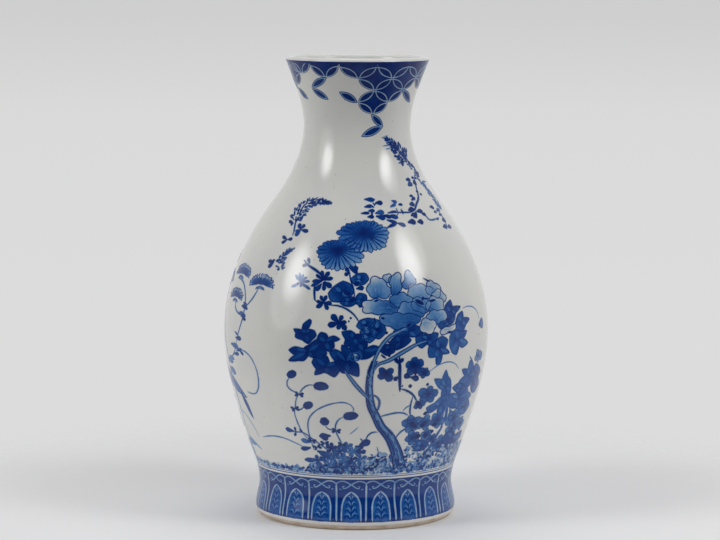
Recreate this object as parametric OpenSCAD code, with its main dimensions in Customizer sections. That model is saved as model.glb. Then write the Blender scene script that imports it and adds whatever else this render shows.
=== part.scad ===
// Porcelain vase of baluster form: flared foot, full belly, narrow neck and a
// turned-out mouth. It is thrown in sections that are luted together with slip,
// then coated inside and out with a thin clear glaze.
// Millimetres, +Z up, origin at the centre of the resting face.

/* [Overall] */
// Height from the resting face to the top of the lip
total_h = 305; // [296:1:320]
// Thickness of the fired clay wall, square to its surface
wall_t = 5.2; // [4.2:0.1:6.4]
// Thickness of each coat of glaze
glaze_t = 0.4; // [0.3:0.05:0.6]

/* [Foot] */
// Outer radius of the flat ring that the vase rests on
rest_r = 62; // [60:0.5:63]
// Radius of the foot where it flares widest
flare_r = 66.5; // [65:0.1:69]
// Height of the widest point of the foot
flare_h = 6; // [4:0.5:7.5]
// Radius of the waist above the foot
waist_r = 64.1; // [60:0.1:64.9]
// Height of the waist
waist_h = 22.7; // [19:0.1:28]
// Radius of the hollow under the base
recess_r = 54.5; // [48:0.5:56]
// Depth of the hollow under the base
recess_h = 8; // [8:0.5:10]
// Thickness of the floor
floor_t = 7; // [5:0.5:8]
// Height of the bare clay edge at the bottom of the foot
bare_h = 3.4; // [2:0.1:4]

/* [Body] */
// Radius of the lower body, part way from waist to belly
rise_r = 73.4; // [70:0.1:76]
// Height of that place
rise_h = 55.3; // [50:0.1:62]
// How far the wall spreads there for each millimetre of height
rise_slope = 0.33; // [0.25:0.01:0.4]
// Radius of the belly
belly_r = 88; // [84:0.1:94]
// Height of the belly
belly_h = 123; // [115:1:130]
// Radius of the shoulder where it draws in fastest
shoulder_r = 55.4; // [52:0.1:60]
// Height of that place
shoulder_h = 209.8; // [204:0.1:214]
// How far the wall draws in there for each millimetre of height
shoulder_slope = 0.74; // [0.6:0.01:0.8]

/* [Neck and mouth] */
// Radius of the neck at its narrowest
neck_r = 35.4; // [33:0.1:40]
// Height of the narrowest place
neck_h = 259.7; // [254:0.1:266]
// Radius of the mouth, outside
mouth_r = 47.2; // [44:0.1:50]
// How far the wall spreads at the mouth for each millimetre of height
mouth_slope = 0.39; // [0.3:0.01:0.45]
// Height of the rounded top of the lip
lip_round = 2.6; // [2:0.1:3.2]

/* [Luted joints] */
// Height of the joint between foot and lower body
foot_joint_h = 38; // [34:1:44]
// Height of the joint between lower body and belly
belly_joint_h = 92; // [84:1:100]
// Height of the joint between belly and shoulder
shoulder_joint_h = 152; // [144:1:160]
// Height of the joint between shoulder and neck
neck_joint_h = 214; // [206:1:224]
// Height of the joint between neck and lip
lip_joint_h = 288; // [282:1:290]
// Width of the ring of slip keyed into each joint
key_w = 2.4; // [1.6:0.1:3]
// Depth that the slip ring is keyed into each of the two edges
key_d = 1.2; // [0.8:0.1:1.6]
// Radius of the coil of clay pressed into the inside corner of the floor
coil_r = 4; // [3:0.5:6]

/* [Hidden] */
$fn = 128;

// Spacing of the levels that the wall curve is drawn through
curve_step = 4;
// Number of straight runs in each small rounded corner
round_steps = 8;

floor_h = recess_h + floor_t;
clay_in = glaze_t + wall_t;      // depth from the glazed face to the inner clay face
glaze_in = clay_in + glaze_t;    // depth from the glazed face to the inner glazed face
lip_h = total_h - lip_round;     // height at which the lip starts to round over

biscuit_colour = [0.80, 0.72, 0.62];
clay_colour = [0.90, 0.89, 0.86];
slip_colour = [0.83, 0.82, 0.79];
glaze_colour = [0.88, 0.90, 0.90];

// Stations of the outer face: height, radius, spread per millimetre of height.
// A cubic runs from each station to the next, level with both slopes.
STATIONS = [
    [flare_h, flare_r, 0],
    [waist_h, waist_r, 0],
    [rise_h, rise_r, rise_slope],
    [belly_h, belly_r, 0],
    [shoulder_h, shoulder_r, -shoulder_slope],
    [neck_h, neck_r, 0],
    [lip_h, mouth_r, mouth_slope]
];

// The station just below height z, leaving the last one as an upper end
function station_below(z) =
    max([for (i = [0:len(STATIONS) - 2]) if (STATIONS[i][0] <= z) i]);

// Radius at share t of the way from station a to station b
function curve_r(a, b, t) =
    let (span = b[0] - a[0])
    (2 * t ^ 3 - 3 * t ^ 2 + 1) * a[1] + (t ^ 3 - 2 * t ^ 2 + t) * span * a[2]
    + (3 * t ^ 2 - 2 * t ^ 3) * b[1] + (t ^ 3 - t ^ 2) * span * b[2];

// Slope at share t of the way from station a to station b
function curve_slope(a, b, t) =
    let (span = b[0] - a[0])
    (6 * t ^ 2 - 6 * t) * (a[1] - b[1]) / span
    + (3 * t ^ 2 - 4 * t + 1) * a[2] + (3 * t ^ 2 - 2 * t) * b[2];

// Radius at height z of the face that lies depth behind the glazed outer face
function wall_r(z, depth) =
    let (
        i = station_below(z), a = STATIONS[i], b = STATIONS[i + 1],
        t = (z - a[0]) / (b[0] - a[0])
    )
    curve_r(a, b, t) - depth * sqrt(1 + curve_slope(a, b, t) ^ 2);

// Levels from low to high, evenly spaced, near curve_step apart
function levels(low, high) =
    let (count = ceil((high - low) / curve_step))
    [for (i = [0:count]) low + (high - low) * i / count];

// Points up a face of the wall from low to high
function face(low, high, depth) = [for (z = levels(low, high)) [wall_r(z, depth), z]];

function reversed(points) = [for (i = [len(points) - 1:-1:0]) points[i]];

// Rounded lower edge of the foot, from the height low up to the widest point.
// It is a quarter of an oval that is flare_h tall.
function foot_edge(low, depth) =
    let (start = acos(1 - low / flare_h))
    [for (i = [0:round_steps])
        let (turn = start + (90 - start) * i / round_steps)
        [rest_r + (flare_r - rest_r - depth) * sin(turn), flare_h * (1 - cos(turn))]];

// Middle of the rounded lip, and half its width at the glazed faces
lip_mid_r = (wall_r(lip_h, 0) + wall_r(lip_h, glaze_in)) / 2;
lip_half_w = (wall_r(lip_h, 0) - wall_r(lip_h, glaze_in)) / 2;
// Level width of a coat on the leaning mouth for each millimetre of its thickness
lip_lean = sqrt(1 + mouth_slope ^ 2);

// Half oval over the lip between two turns, 0 outside and 180 inside
function lip_arc(from, to, depth) =
    [for (i = [0:round_steps])
        let (turn = from + (to - from) * i / round_steps)
        [lip_mid_r + (lip_half_w - depth * lip_lean) * cos(turn),
         lip_h + (lip_round - depth) * sin(turn)]];

// Rounded inside corner of the floor, from the floor up to the wall
coil_wall_r = wall_r(floor_h + coil_r, clay_in);
function corner(depth) =
    [for (i = [0:round_steps])
        let (turn = 90 * i / round_steps)
        [coil_wall_r - coil_r + (coil_r - depth) * sin(turn),
         floor_h + coil_r - (coil_r - depth) * cos(turn)]];

// Middle of the clay wall at height z
function clay_mid_r(z) = (wall_r(z, glaze_t) + wall_r(z, clay_in)) / 2;

// Groove cut in the edge of a section at height z, deep towards +Z or -Z,
// listed from its outer to its inner side
function groove(z, deep) = [
    [clay_mid_r(z) + key_w / 2, z],
    [clay_mid_r(z), z + deep],
    [clay_mid_r(z) - key_w / 2, z]
];

// Clay wall between two joint heights, grooved for slip at either edge
module wall_section(low, high) {
    rotate_extrude()
        polygon(concat(
            face(low, high, glaze_t),
            groove(high, -key_d),
            reversed(face(low, high, clay_in)),
            reversed(groove(low, key_d))
        ));
}

// Ring of slip that fills the grooves of the two edges meeting at height z
module slip_ring(z) {
    color(slip_colour)
        rotate_extrude()
            polygon(concat(groove(z, key_d), [[clay_mid_r(z), z - key_d]]));
}

// Bare clay ring that the vase stands on, rounded outside, eased inside
module foot_ring() {
    ease = 1;
    color(biscuit_colour)
        rotate_extrude()
            polygon(concat(
                foot_edge(0, glaze_t),
                [[wall_r(recess_h, glaze_t), recess_h],
                 [recess_r, recess_h],
                 [recess_r, ease],
                 [recess_r + ease, 0]]
            ));
}

// Disc that closes the bottom of the vase and sits on the foot ring
module base_floor() {
    color(clay_colour)
        translate([0, 0, recess_h])
            cylinder(h = floor_t, r = wall_r(floor_h, clay_in));
}

// Coil pressed into the corner between floor and wall
module floor_coil() {
    color(clay_colour)
        rotate_extrude()
            polygon(concat(corner(0), reversed(face(floor_h, floor_h + coil_r, clay_in))));
}

// Flared wall of the foot, rebated at its lower edge around the floor
module foot_wall() {
    color(clay_colour)
        rotate_extrude()
            polygon(concat(
                face(recess_h, foot_joint_h, glaze_t),
                groove(foot_joint_h, -key_d),
                reversed(face(floor_h, foot_joint_h, clay_in)),
                [[wall_r(floor_h, clay_in), recess_h]]
            ));
}

// Spreading wall from the foot up to the belly
module lower_body() {
    color(clay_colour) wall_section(foot_joint_h, belly_joint_h);
}

// Fullest part of the wall
module belly() {
    color(clay_colour) wall_section(belly_joint_h, shoulder_joint_h);
}

// Wall that closes in from the belly to the neck
module shoulder() {
    color(clay_colour) wall_section(shoulder_joint_h, neck_joint_h);
}

// Narrow neck between the shoulder and the lip
module neck() {
    color(clay_colour) wall_section(neck_joint_h, lip_joint_h);
}

// Top of the neck, turned out and rounded over
module mouth_lip() {
    color(clay_colour)
        rotate_extrude()
            polygon(concat(
                face(lip_joint_h, lip_h, glaze_t),
                lip_arc(0, 180, glaze_t),
                reversed(face(lip_joint_h, lip_h, clay_in)),
                reversed(groove(lip_joint_h, key_d))
            ));
}

// Luted joints, from the foot up
module foot_seam() { slip_ring(foot_joint_h); }
module belly_seam() { slip_ring(belly_joint_h); }
module shoulder_seam() { slip_ring(shoulder_joint_h); }
module neck_seam() { slip_ring(neck_joint_h); }
module lip_seam() { slip_ring(lip_joint_h); }

// Glaze in the hollow under the base, down the side of the foot ring
module base_glaze() {
    color(glaze_colour)
        rotate_extrude()
            polygon([
                [0, recess_h - glaze_t],
                [recess_r - glaze_t, recess_h - glaze_t],
                [recess_r - glaze_t, bare_h],
                [recess_r, bare_h],
                [recess_r, recess_h],
                [0, recess_h]
            ]);
}

// Glaze outside, from the bare edge of the foot to the top of the lip
module outer_glaze() {
    color(glaze_colour)
        rotate_extrude()
            polygon(concat(
                foot_edge(bare_h, 0),
                face(flare_h, lip_h, 0),
                lip_arc(0, 90, 0),
                lip_arc(90, 0, glaze_t),
                reversed(face(flare_h, lip_h, glaze_t)),
                reversed(foot_edge(bare_h, glaze_t))
            ));
}

// Glaze inside, from the top of the lip down over the floor
module inner_glaze() {
    color(glaze_colour)
        rotate_extrude()
            polygon(concat(
                [[0, floor_h]],
                corner(0),
                face(floor_h + coil_r, lip_h, clay_in),
                lip_arc(180, 90, glaze_t),
                lip_arc(90, 180, 0),
                reversed(face(floor_h + coil_r, lip_h, glaze_in)),
                reversed(corner(glaze_t)),
                [[0, floor_h + glaze_t]]
            ));
}

foot_ring();
base_floor();
floor_coil();
foot_wall();
lower_body();
belly();
shoulder();
neck();
mouth_lip();
foot_seam();
belly_seam();
shoulder_seam();
neck_seam();
lip_seam();
base_glaze();
outer_glaze();
inner_glaze();
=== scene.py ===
"""Looks of a blue and white porcelain vase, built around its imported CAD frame.

The coats of glaze and the bare foot are turned as fine shells. The cobalt painting is laid on the
outer coat as thin films of mesh, one film for each brush mark, under the same gloss as the glaze.
A place on the painting is (angle, height): degrees round the vase from the front, positive to the
right of someone facing it, and millimetres above the resting face. Sizes are in millimetres until
a mesh is made, which is in metres.
"""

from __future__ import annotations

import logging
import math
import random
from dataclasses import dataclass, field
from enum import Enum
from typing import Iterable, Sequence

import bpy
import numpy as np
from mathutils import Euler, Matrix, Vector

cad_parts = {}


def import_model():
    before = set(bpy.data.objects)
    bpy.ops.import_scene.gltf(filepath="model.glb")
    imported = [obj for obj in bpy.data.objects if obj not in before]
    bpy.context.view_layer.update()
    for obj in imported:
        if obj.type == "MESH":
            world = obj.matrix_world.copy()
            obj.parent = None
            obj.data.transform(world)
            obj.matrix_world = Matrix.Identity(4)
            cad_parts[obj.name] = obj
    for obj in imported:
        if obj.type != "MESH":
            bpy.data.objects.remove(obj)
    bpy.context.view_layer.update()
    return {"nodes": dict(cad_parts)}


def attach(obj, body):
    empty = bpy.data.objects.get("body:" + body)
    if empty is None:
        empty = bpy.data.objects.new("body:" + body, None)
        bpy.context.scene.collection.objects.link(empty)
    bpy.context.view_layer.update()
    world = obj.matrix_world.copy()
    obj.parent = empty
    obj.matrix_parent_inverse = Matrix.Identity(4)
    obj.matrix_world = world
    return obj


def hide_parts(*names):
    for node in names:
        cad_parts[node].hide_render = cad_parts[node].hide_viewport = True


LOG = logging.getLogger("vase")
MM = 0.001
BODY = "root"
TONE = "tone"

Place = tuple[float, float]
Path = Sequence[Place]


# The form of the vase


@dataclass(frozen=True)
class VaseForm:
    """Outer face of the vase, with the driving sizes of its CAD model, in millimetres."""

    total_h: float = 305.0
    wall_t: float = 5.2
    glaze_t: float = 0.4
    rest_r: float = 62.0
    flare_r: float = 66.5
    flare_h: float = 6.0
    recess_r: float = 54.5
    recess_h: float = 8.0
    floor_t: float = 7.0
    bare_h: float = 3.4
    coil_r: float = 4.0
    lip_round: float = 2.6
    stations: tuple[tuple[float, float, float], ...] = (
        (6.0, 66.5, 0.0), (22.7, 64.1, 0.0), (55.3, 73.4, 0.33), (123.0, 88.0, 0.0), (209.8, 55.4, -0.74),
        (259.7, 35.4, 0.0), (302.4, 47.2, 0.39),
    )

    @property
    def lip_h(self) -> float:
        """Height at which the lip starts to round over."""
        return self.total_h - self.lip_round

    @property
    def inside(self) -> float:
        """Depth from the outer to the inner glazed face."""
        return self.wall_t + 2 * self.glaze_t

    def _spans(self, z: np.ndarray) -> tuple[np.ndarray, ...]:
        """Finds the stations round each height.

        Args:
            z: Heights.

        Returns:
            The lower and upper station of each height and its share of the way between them.
        """
        rows = np.array(self.stations)
        i = np.clip(np.searchsorted(rows[:, 0], z, side="right") - 1, 0, len(rows) - 2)
        a, b = rows[i], rows[i + 1]
        return a, b, (z - a[..., 0]) / (b[..., 0] - a[..., 0])

    def radius(self, z: np.ndarray) -> np.ndarray:
        """Works out the outer radius.

        Args:
            z: Heights.

        Returns:
            The radius at each height, on the oval edge of the foot below its widest point.
        """
        z = np.asarray(z, float)
        a, b, t = self._spans(np.maximum(z, self.flare_h))
        span = b[..., 0] - a[..., 0]
        wall = (
            (2 * t**3 - 3 * t**2 + 1) * a[..., 1]
            + (t**3 - 2 * t**2 + t) * span * a[..., 2]
            + (3 * t**2 - 2 * t**3) * b[..., 1]
            + (t**3 - t**2) * span * b[..., 2]
        )
        drop = np.clip((self.flare_h - z) / self.flare_h, 0, 1)
        edge = self.rest_r + (self.flare_r - self.rest_r) * np.sqrt(1 - drop**2)
        return np.where(z < self.flare_h, edge, wall)

    def slope(self, z: np.ndarray) -> np.ndarray:
        """Works out how fast the radius grows with height.

        Args:
            z: Heights.

        Returns:
            The slope at each height.
        """
        step = 0.05
        return (self.radius(z + step) - self.radius(z - step)) / (2 * step)

    def behind(self, z: np.ndarray, depth: float) -> np.ndarray:
        """Works out the radius of a face inside the wall.

        Args:
            z: Heights.
            depth: Depth behind the outer face, square to it.

        Returns:
            The radius at each height.
        """
        return self.radius(z) - depth * np.sqrt(1 + self.slope(z) ** 2)

    def surface(self, angle: np.ndarray, z: np.ndarray, lift: np.ndarray) -> np.ndarray:
        """Places points on or above the outer face.

        Args:
            angle: Degrees round the vase.
            z: Heights.
            lift: Heights above the glaze, square to it.

        Returns:
            The points, in metres.
        """
        normal = self.normal(angle, z)
        turn = np.radians(angle)
        r = self.radius(z)
        base = np.stack([r * np.sin(turn), -r * np.cos(turn), z], axis=-1)
        return (base + normal * np.asarray(lift)[..., None]) * MM

    def normal(self, angle: np.ndarray, z: np.ndarray) -> np.ndarray:
        """Works out the outward normal of the outer face.

        Args:
            angle: Degrees round the vase.
            z: Heights.

        Returns:
            The unit normals.
        """
        turn = np.radians(angle)
        slope = self.slope(z)
        size = np.sqrt(1 + slope**2)
        return np.stack([np.sin(turn) / size, -np.cos(turn) / size, -slope / size], axis=-1)

    def scale(self, z: np.ndarray) -> tuple[np.ndarray, np.ndarray]:
        """Works out how long a degree and a millimetre of height are on the face.

        Args:
            z: Heights.

        Returns:
            Millimetres for each degree and for each millimetre of height.
        """
        return self.radius(z) * math.pi / 180, np.sqrt(1 + self.slope(z) ** 2)


# Finishes


class NodeBench:
    """Small helper that wires the nodes of one material."""

    def __init__(self, name: str) -> None:
        """Starts an empty material with its shader and output.

        Args:
            name: Name of the material.
        """
        self.material = bpy.data.materials.new(name)
        self.material.use_nodes = True
        self.tree = self.material.node_tree
        self.tree.nodes.clear()
        self.shader = self.add("ShaderNodeBsdfPrincipled")
        out = self.add("ShaderNodeOutputMaterial")
        self.link(self.shader.outputs["BSDF"], out.inputs["Surface"])

    def add(self, kind: str, **values: object) -> bpy.types.Node:
        """Adds a node.

        Args:
            kind: Type of the node.
            values: Properties of the node or numbers for its inputs.

        Returns:
            The node.
        """
        node = self.tree.nodes.new(kind)
        for key, value in values.items():
            if key in node.inputs:
                node.inputs[key].default_value = value
            else:
                setattr(node, key.lower(), value)
        return node

    def link(self, source: bpy.types.NodeSocket, target: bpy.types.NodeSocket) -> None:
        """Joins two sockets."""
        self.tree.links.new(source, target)

    def noise(self, scale: float, detail: float = 3.0) -> bpy.types.NodeSocket:
        """Adds a noise on object coordinates.

        Args:
            scale: Waves for each metre.
            detail: Octaves.

        Returns:
            The noise's factor.
        """
        where = self.add("ShaderNodeTexCoord")
        cloud = self.add("ShaderNodeTexNoise", Scale=scale, Detail=detail)
        self.link(where.outputs["Object"], cloud.inputs["Vector"])
        return cloud.outputs["Fac"]

    def math(self, operation: str, a: object, b: object) -> bpy.types.NodeSocket:
        """Adds a sum, product or the like.

        Args:
            operation: Name of the operation.
            a: First number or socket.
            b: Second number or socket.

        Returns:
            The result.
        """
        node = self.add("ShaderNodeMath", operation=operation)
        for socket, value in zip(node.inputs, (a, b)):
            if isinstance(value, bpy.types.NodeSocket):
                self.link(value, socket)
            else:
                socket.default_value = value
        return node.outputs[0]

    def ramp(
        self, factor: bpy.types.NodeSocket, stops: Sequence[tuple[float, tuple[float, ...]]]
    ) -> bpy.types.NodeSocket:
        """Adds a colour ramp.

        Args:
            factor: What the ramp reads.
            stops: Position and colour of each stop.

        Returns:
            The colour.
        """
        node = self.add("ShaderNodeValToRGB")
        self.link(factor, node.inputs["Fac"])
        band = node.color_ramp
        while len(band.elements) < len(stops):
            band.elements.new(0.5)
        for element, (position, colour) in zip(band.elements, stops):
            element.position = position
            element.color = (*colour, 1.0)
        return node.outputs["Color"]

    def bump(self, height: bpy.types.NodeSocket, strength: float, distance: float) -> None:
        """Raises the surface by a height.

        Args:
            height: What lifts it.
            strength: Share of the effect.
            distance: Height in metres of a factor of one.
        """
        node = self.add("ShaderNodeBump", Strength=strength, Distance=distance)
        self.link(height, node.inputs["Height"])
        self.link(node.outputs["Normal"], self.shader.inputs["Normal"])


@dataclass(frozen=True)
class Gloss:
    """Shine that the glaze gives to everything under it."""

    roughness: float = 0.055
    ior: float = 1.5
    ripple_scale: float = 55.0
    ripple_height: float = 0.00012

    def apply(self, bench: NodeBench) -> None:
        """Sets the shine and the faint ripple of a hand-dipped glaze.

        Args:
            bench: The material.
        """
        bench.shader.inputs["IOR"].default_value = self.ior
        cloud = bench.noise(900.0)
        spread = bench.math("MULTIPLY", cloud, 0.05)
        bench.link(bench.math("ADD", spread, self.roughness - 0.025), bench.shader.inputs["Roughness"])
        bench.bump(bench.noise(self.ripple_scale, 2.0), 0.5, self.ripple_height)


@dataclass(frozen=True)
class ClearGlaze:
    """Clear glaze over a white body, a little grey and warm, with a few iron specks."""

    gloss: Gloss = Gloss()
    body: tuple[float, float, float] = (0.690, 0.690, 0.660)
    pool: tuple[float, float, float] = (0.660, 0.662, 0.645)
    speck: tuple[float, float, float] = (0.30, 0.27, 0.22)

    def make(self, name: str) -> bpy.types.Material:
        """Makes the material.

        Args:
            name: Name of the material.

        Returns:
            The material.
        """
        bench = NodeBench(name)
        tint = bench.ramp(bench.noise(28.0), [(0.35, self.pool), (0.65, self.body)])
        spots = bench.noise(650.0, 1.0)
        where = bench.ramp(spots, [(0.765, (0.0, 0.0, 0.0)), (0.80, (1.0, 1.0, 1.0))])
        mix = bench.add("ShaderNodeMix", data_type="RGBA")
        bench.link(where, mix.inputs[0])
        bench.link(tint, mix.inputs[6])
        mix.inputs[7].default_value = (*self.speck, 1.0)
        bench.link(mix.outputs[2], bench.shader.inputs["Base Color"])
        self.gloss.apply(bench)
        return bench.material


@dataclass(frozen=True)
class Cobalt:
    """Cobalt under the glaze, from a pale wash to a heaped dark line."""

    gloss: Gloss = Gloss()
    stops: tuple[tuple[float, tuple[float, float, float]], ...] = (
        (0.00, (0.640, 0.650, 0.640)), (0.10, (0.370, 0.460, 0.550)), (0.25, (0.140, 0.290, 0.510)),
        (0.42, (0.044, 0.160, 0.420)), (0.60, (0.010, 0.082, 0.310)), (0.80, (0.000, 0.038, 0.220)),
        (1.00, (0.000, 0.014, 0.130)),
    )
    mottle: float = 0.34
    grain: float = 0.16

    def make(self, name: str) -> bpy.types.Material:
        """Makes the material, which reads how dark each mark is from its tone attribute.

        Args:
            name: Name of the material.

        Returns:
            The material.
        """
        bench = NodeBench(name)
        tone = bench.add("ShaderNodeAttribute", attribute_name=TONE).outputs["Fac"]
        pooled = bench.math("MULTIPLY", bench.math("SUBTRACT", bench.noise(170.0), 0.5), self.mottle)
        heaped = bench.math("MULTIPLY", bench.math("SUBTRACT", bench.noise(1500.0), 0.5), self.grain)
        dark = bench.math("ADD", tone, bench.math("ADD", pooled, heaped))
        bench.link(bench.ramp(dark, self.stops), bench.shader.inputs["Base Color"])
        self.gloss.apply(bench)
        return bench.material


@dataclass(frozen=True)
class DryClay:
    """Unglazed fired clay: matt and finely grained."""

    light: tuple[float, float, float] = (0.60, 0.50, 0.41)
    dark: tuple[float, float, float] = (0.46, 0.36, 0.27)
    roughness: float = 0.85
    grain_scale: float = 700.0

    def make(self, name: str) -> bpy.types.Material:
        """Makes the material.

        Args:
            name: Name of the material.

        Returns:
            The material.
        """
        bench = NodeBench(name)
        stops = [(0.30, self.dark), (0.52, self.light)]
        tint = bench.ramp(bench.noise(140.0, 5.0), stops)
        bench.link(tint, bench.shader.inputs["Base Color"])
        bench.shader.inputs["Roughness"].default_value = self.roughness
        bench.bump(bench.noise(self.grain_scale, 4.0), 0.6, 0.0002)
        return bench.material


@dataclass(frozen=True)
class Paper:
    """Plain pale paper of the studio sweep."""

    tint: tuple[float, float, float] = (0.80, 0.80, 0.805)
    shade: tuple[float, float, float] = (0.78, 0.78, 0.79)


# Turned pieces


def deselect_all() -> None:
    """Leaves object mode with nothing selected."""
    if bpy.context.object and bpy.context.object.mode != "OBJECT":
        bpy.ops.object.mode_set(mode="OBJECT")
    bpy.ops.object.select_all(action="DESELECT")


@dataclass
class TurnedShell:
    """A closed section spun round the axis of the vase."""

    name: str
    section: list[tuple[float, float]]
    closed: bool = True
    steps: int = 256
    smooth_angle: float = math.radians(50)

    def build(self) -> bpy.types.Object:
        """Draws the section as a chain of extruded points and spins it.

        Returns:
            The turned object, its faces outwards.
        """
        deselect_all()
        first = self.section[0]
        bpy.ops.mesh.primitive_plane_add(size=MM, location=(first[0] * MM, 0.0, first[1] * MM))
        piece = bpy.context.object
        piece.name = self.name
        bpy.ops.object.transform_apply(location=True, rotation=False, scale=False)
        bpy.ops.object.mode_set(mode="EDIT")
        bpy.ops.mesh.select_all(action="SELECT")
        bpy.ops.mesh.merge(type="CENTER")
        bpy.ops.mesh.select_mode(type="VERT")
        bpy.ops.mesh.select_all(action="SELECT")
        for (r0, z0), (r1, z1) in zip(self.section, self.section[1:]):
            move = {"value": ((r1 - r0) * MM, 0.0, (z1 - z0) * MM)}
            bpy.ops.mesh.extrude_vertices_move(TRANSFORM_OT_translate=move)
        if self.closed:
            self._close()
        bpy.ops.mesh.select_all(action="SELECT")
        bpy.ops.mesh.spin(
            steps=self.steps, angle=2 * math.pi, center=(0.0, 0.0, 0.0), axis=(0.0, 0.0, 1.0)
        )
        bpy.ops.mesh.select_all(action="SELECT")
        bpy.ops.mesh.remove_doubles(threshold=0.00001)
        bpy.ops.mesh.normals_make_consistent(inside=False)
        bpy.ops.object.mode_set(mode="OBJECT")
        bpy.ops.object.shade_smooth_by_angle(angle=self.smooth_angle)
        return piece

    def _close(self) -> None:
        """Joins the two ends of the chain of points."""
        bpy.ops.object.mode_set(mode="OBJECT")
        points = bpy.context.object.data.vertices
        for point in points:
            point.select = False
        points[0].select = True
        points[len(points) - 1].select = True
        bpy.ops.object.mode_set(mode="EDIT")
        bpy.ops.mesh.edge_face_add()


@dataclass
class Coats:
    """The two coats of glaze and the bare clay foot, turned finer than their CAD solids."""

    form: VaseForm
    level_step: float = 1.5
    round_steps: int = 12
    ease: float = 1.0

    def levels(self, low: float, high: float) -> list[float]:
        """Spaces heights evenly between two levels.

        Args:
            low: Lowest height.
            high: Highest height.

        Returns:
            The heights.
        """
        count = math.ceil((high - low) / self.level_step)
        return [low + (high - low) * i / count for i in range(count + 1)]

    def face(self, low: float, high: float, depth: float) -> list[tuple[float, float]]:
        """Follows a face of the wall upwards.

        Args:
            low: Lowest height.
            high: Highest height.
            depth: Depth behind the outer face.

        Returns:
            Radius and height of each point.
        """
        return [(float(self.form.behind(np.array(z), depth)), z) for z in self.levels(low, high)]

    def lip(self, start: float, end: float, depth: float) -> list[tuple[float, float]]:
        """Follows the rounded lip.

        Args:
            start: Degrees from the outer side.
            end: Degrees at the end.
            depth: Depth behind the glazed face.

        Returns:
            Radius and height of each point.
        """
        f = self.form
        lean = math.sqrt(1 + float(f.slope(np.array(f.lip_h - 0.1))) ** 2)
        outer = float(f.radius(np.array(f.lip_h)))
        inner = outer - f.inside * lean
        half = (outer - inner) / 2
        steps = self.round_steps
        turns = [math.radians(start + (end - start) * i / steps) for i in range(steps + 1)]
        return [
            (
                (outer + inner) / 2 + (half - depth * lean) * math.cos(t),
                f.lip_h + (f.lip_round - depth) * math.sin(t),
            )
            for t in turns
        ]

    def foot_edge(self, low: float, depth: float) -> list[tuple[float, float]]:
        """Follows the oval lower edge of the foot up to its widest point.

        Args:
            low: Lowest height.
            depth: Depth behind the outer face.

        Returns:
            Radius and height of each point.
        """
        f = self.form
        start = math.acos(1 - low / f.flare_h)
        turns = [start + (math.pi / 2 - start) * i / self.round_steps for i in range(self.round_steps + 1)]
        return [
            (f.rest_r + (f.flare_r - f.rest_r - depth) * math.sin(t), f.flare_h * (1 - math.cos(t)))
            for t in turns
        ]

    def corner(self, depth: float) -> list[tuple[float, float]]:
        """Follows the rounded inside corner of the floor.

        Args:
            depth: Thickness of glaze over it.

        Returns:
            Radius and height of each point.
        """
        f = self.form
        floor = f.recess_h + f.floor_t
        wall = float(f.behind(np.array(floor + f.coil_r), f.glaze_t + f.wall_t))
        turns = [math.pi / 2 * i / self.round_steps for i in range(self.round_steps + 1)]
        return [
            (
                wall - f.coil_r + (f.coil_r - depth) * math.sin(t),
                floor + f.coil_r - (f.coil_r - depth) * math.cos(t),
            )
            for t in turns
        ]

    @staticmethod
    def joined(*runs: list[tuple[float, float]]) -> list[tuple[float, float]]:
        """Joins runs of points, leaving out each point that repeats the one before."""
        points: list[tuple[float, float]] = []
        for point in (p for run in runs for p in run):
            if not points or math.dist(points[-1], point) > 0.02:
                points.append(point)
        return points

    def outer(self) -> bpy.types.Object:
        """Turns the outer coat, from the bare edge of the foot to the top of the lip.

        Returns:
            The coat.
        """
        f = self.form
        section = self.joined(
            self.foot_edge(f.bare_h, 0.0),
            self.face(f.flare_h, f.lip_h, 0.0)[1:],
            self.lip(0, 90, 0.0)[1:],
            self.lip(90, 0, f.glaze_t),
            self.face(f.flare_h, f.lip_h, f.glaze_t)[::-2],
            self.foot_edge(f.bare_h, f.glaze_t)[::-4],
        )
        return TurnedShell("outer_coat", section).build()

    def inner(self) -> bpy.types.Object:
        """Turns the inner coat, from the top of the lip down over the floor.

        Returns:
            The coat.
        """
        f = self.form
        floor = f.recess_h + f.floor_t
        clay = f.glaze_t + f.wall_t
        section = self.joined(
            [(0.0, floor)],
            self.corner(0.0)[::4],
            self.face(floor + f.coil_r, f.lip_h, clay)[::2],
            self.lip(180, 90, f.glaze_t),
            self.lip(90, 180, 0.0),
            self.face(floor + f.coil_r, f.lip_h, f.inside)[::-1],
            self.corner(f.glaze_t)[::-1],
            [(20.0, floor + f.glaze_t), (0.0, floor + f.glaze_t)],
        )
        return TurnedShell("inner_coat", section, closed=False, steps=192).build()

    def foot(self) -> bpy.types.Object:
        """Turns the bare clay ring that the vase stands on.

        Returns:
            The ring.
        """
        f = self.form
        section = self.joined(
            self.foot_edge(0.0, f.glaze_t),
            [
                (float(f.behind(np.array(f.recess_h), f.glaze_t)), f.recess_h), (f.recess_r, f.recess_h),
                (f.recess_r, self.ease), (f.recess_r + self.ease * 0.3, self.ease * 0.3),
                (f.recess_r + self.ease, 0.0),
            ],
        )
        return TurnedShell("bare_foot", section, steps=192).build()


# Brush marks


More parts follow.
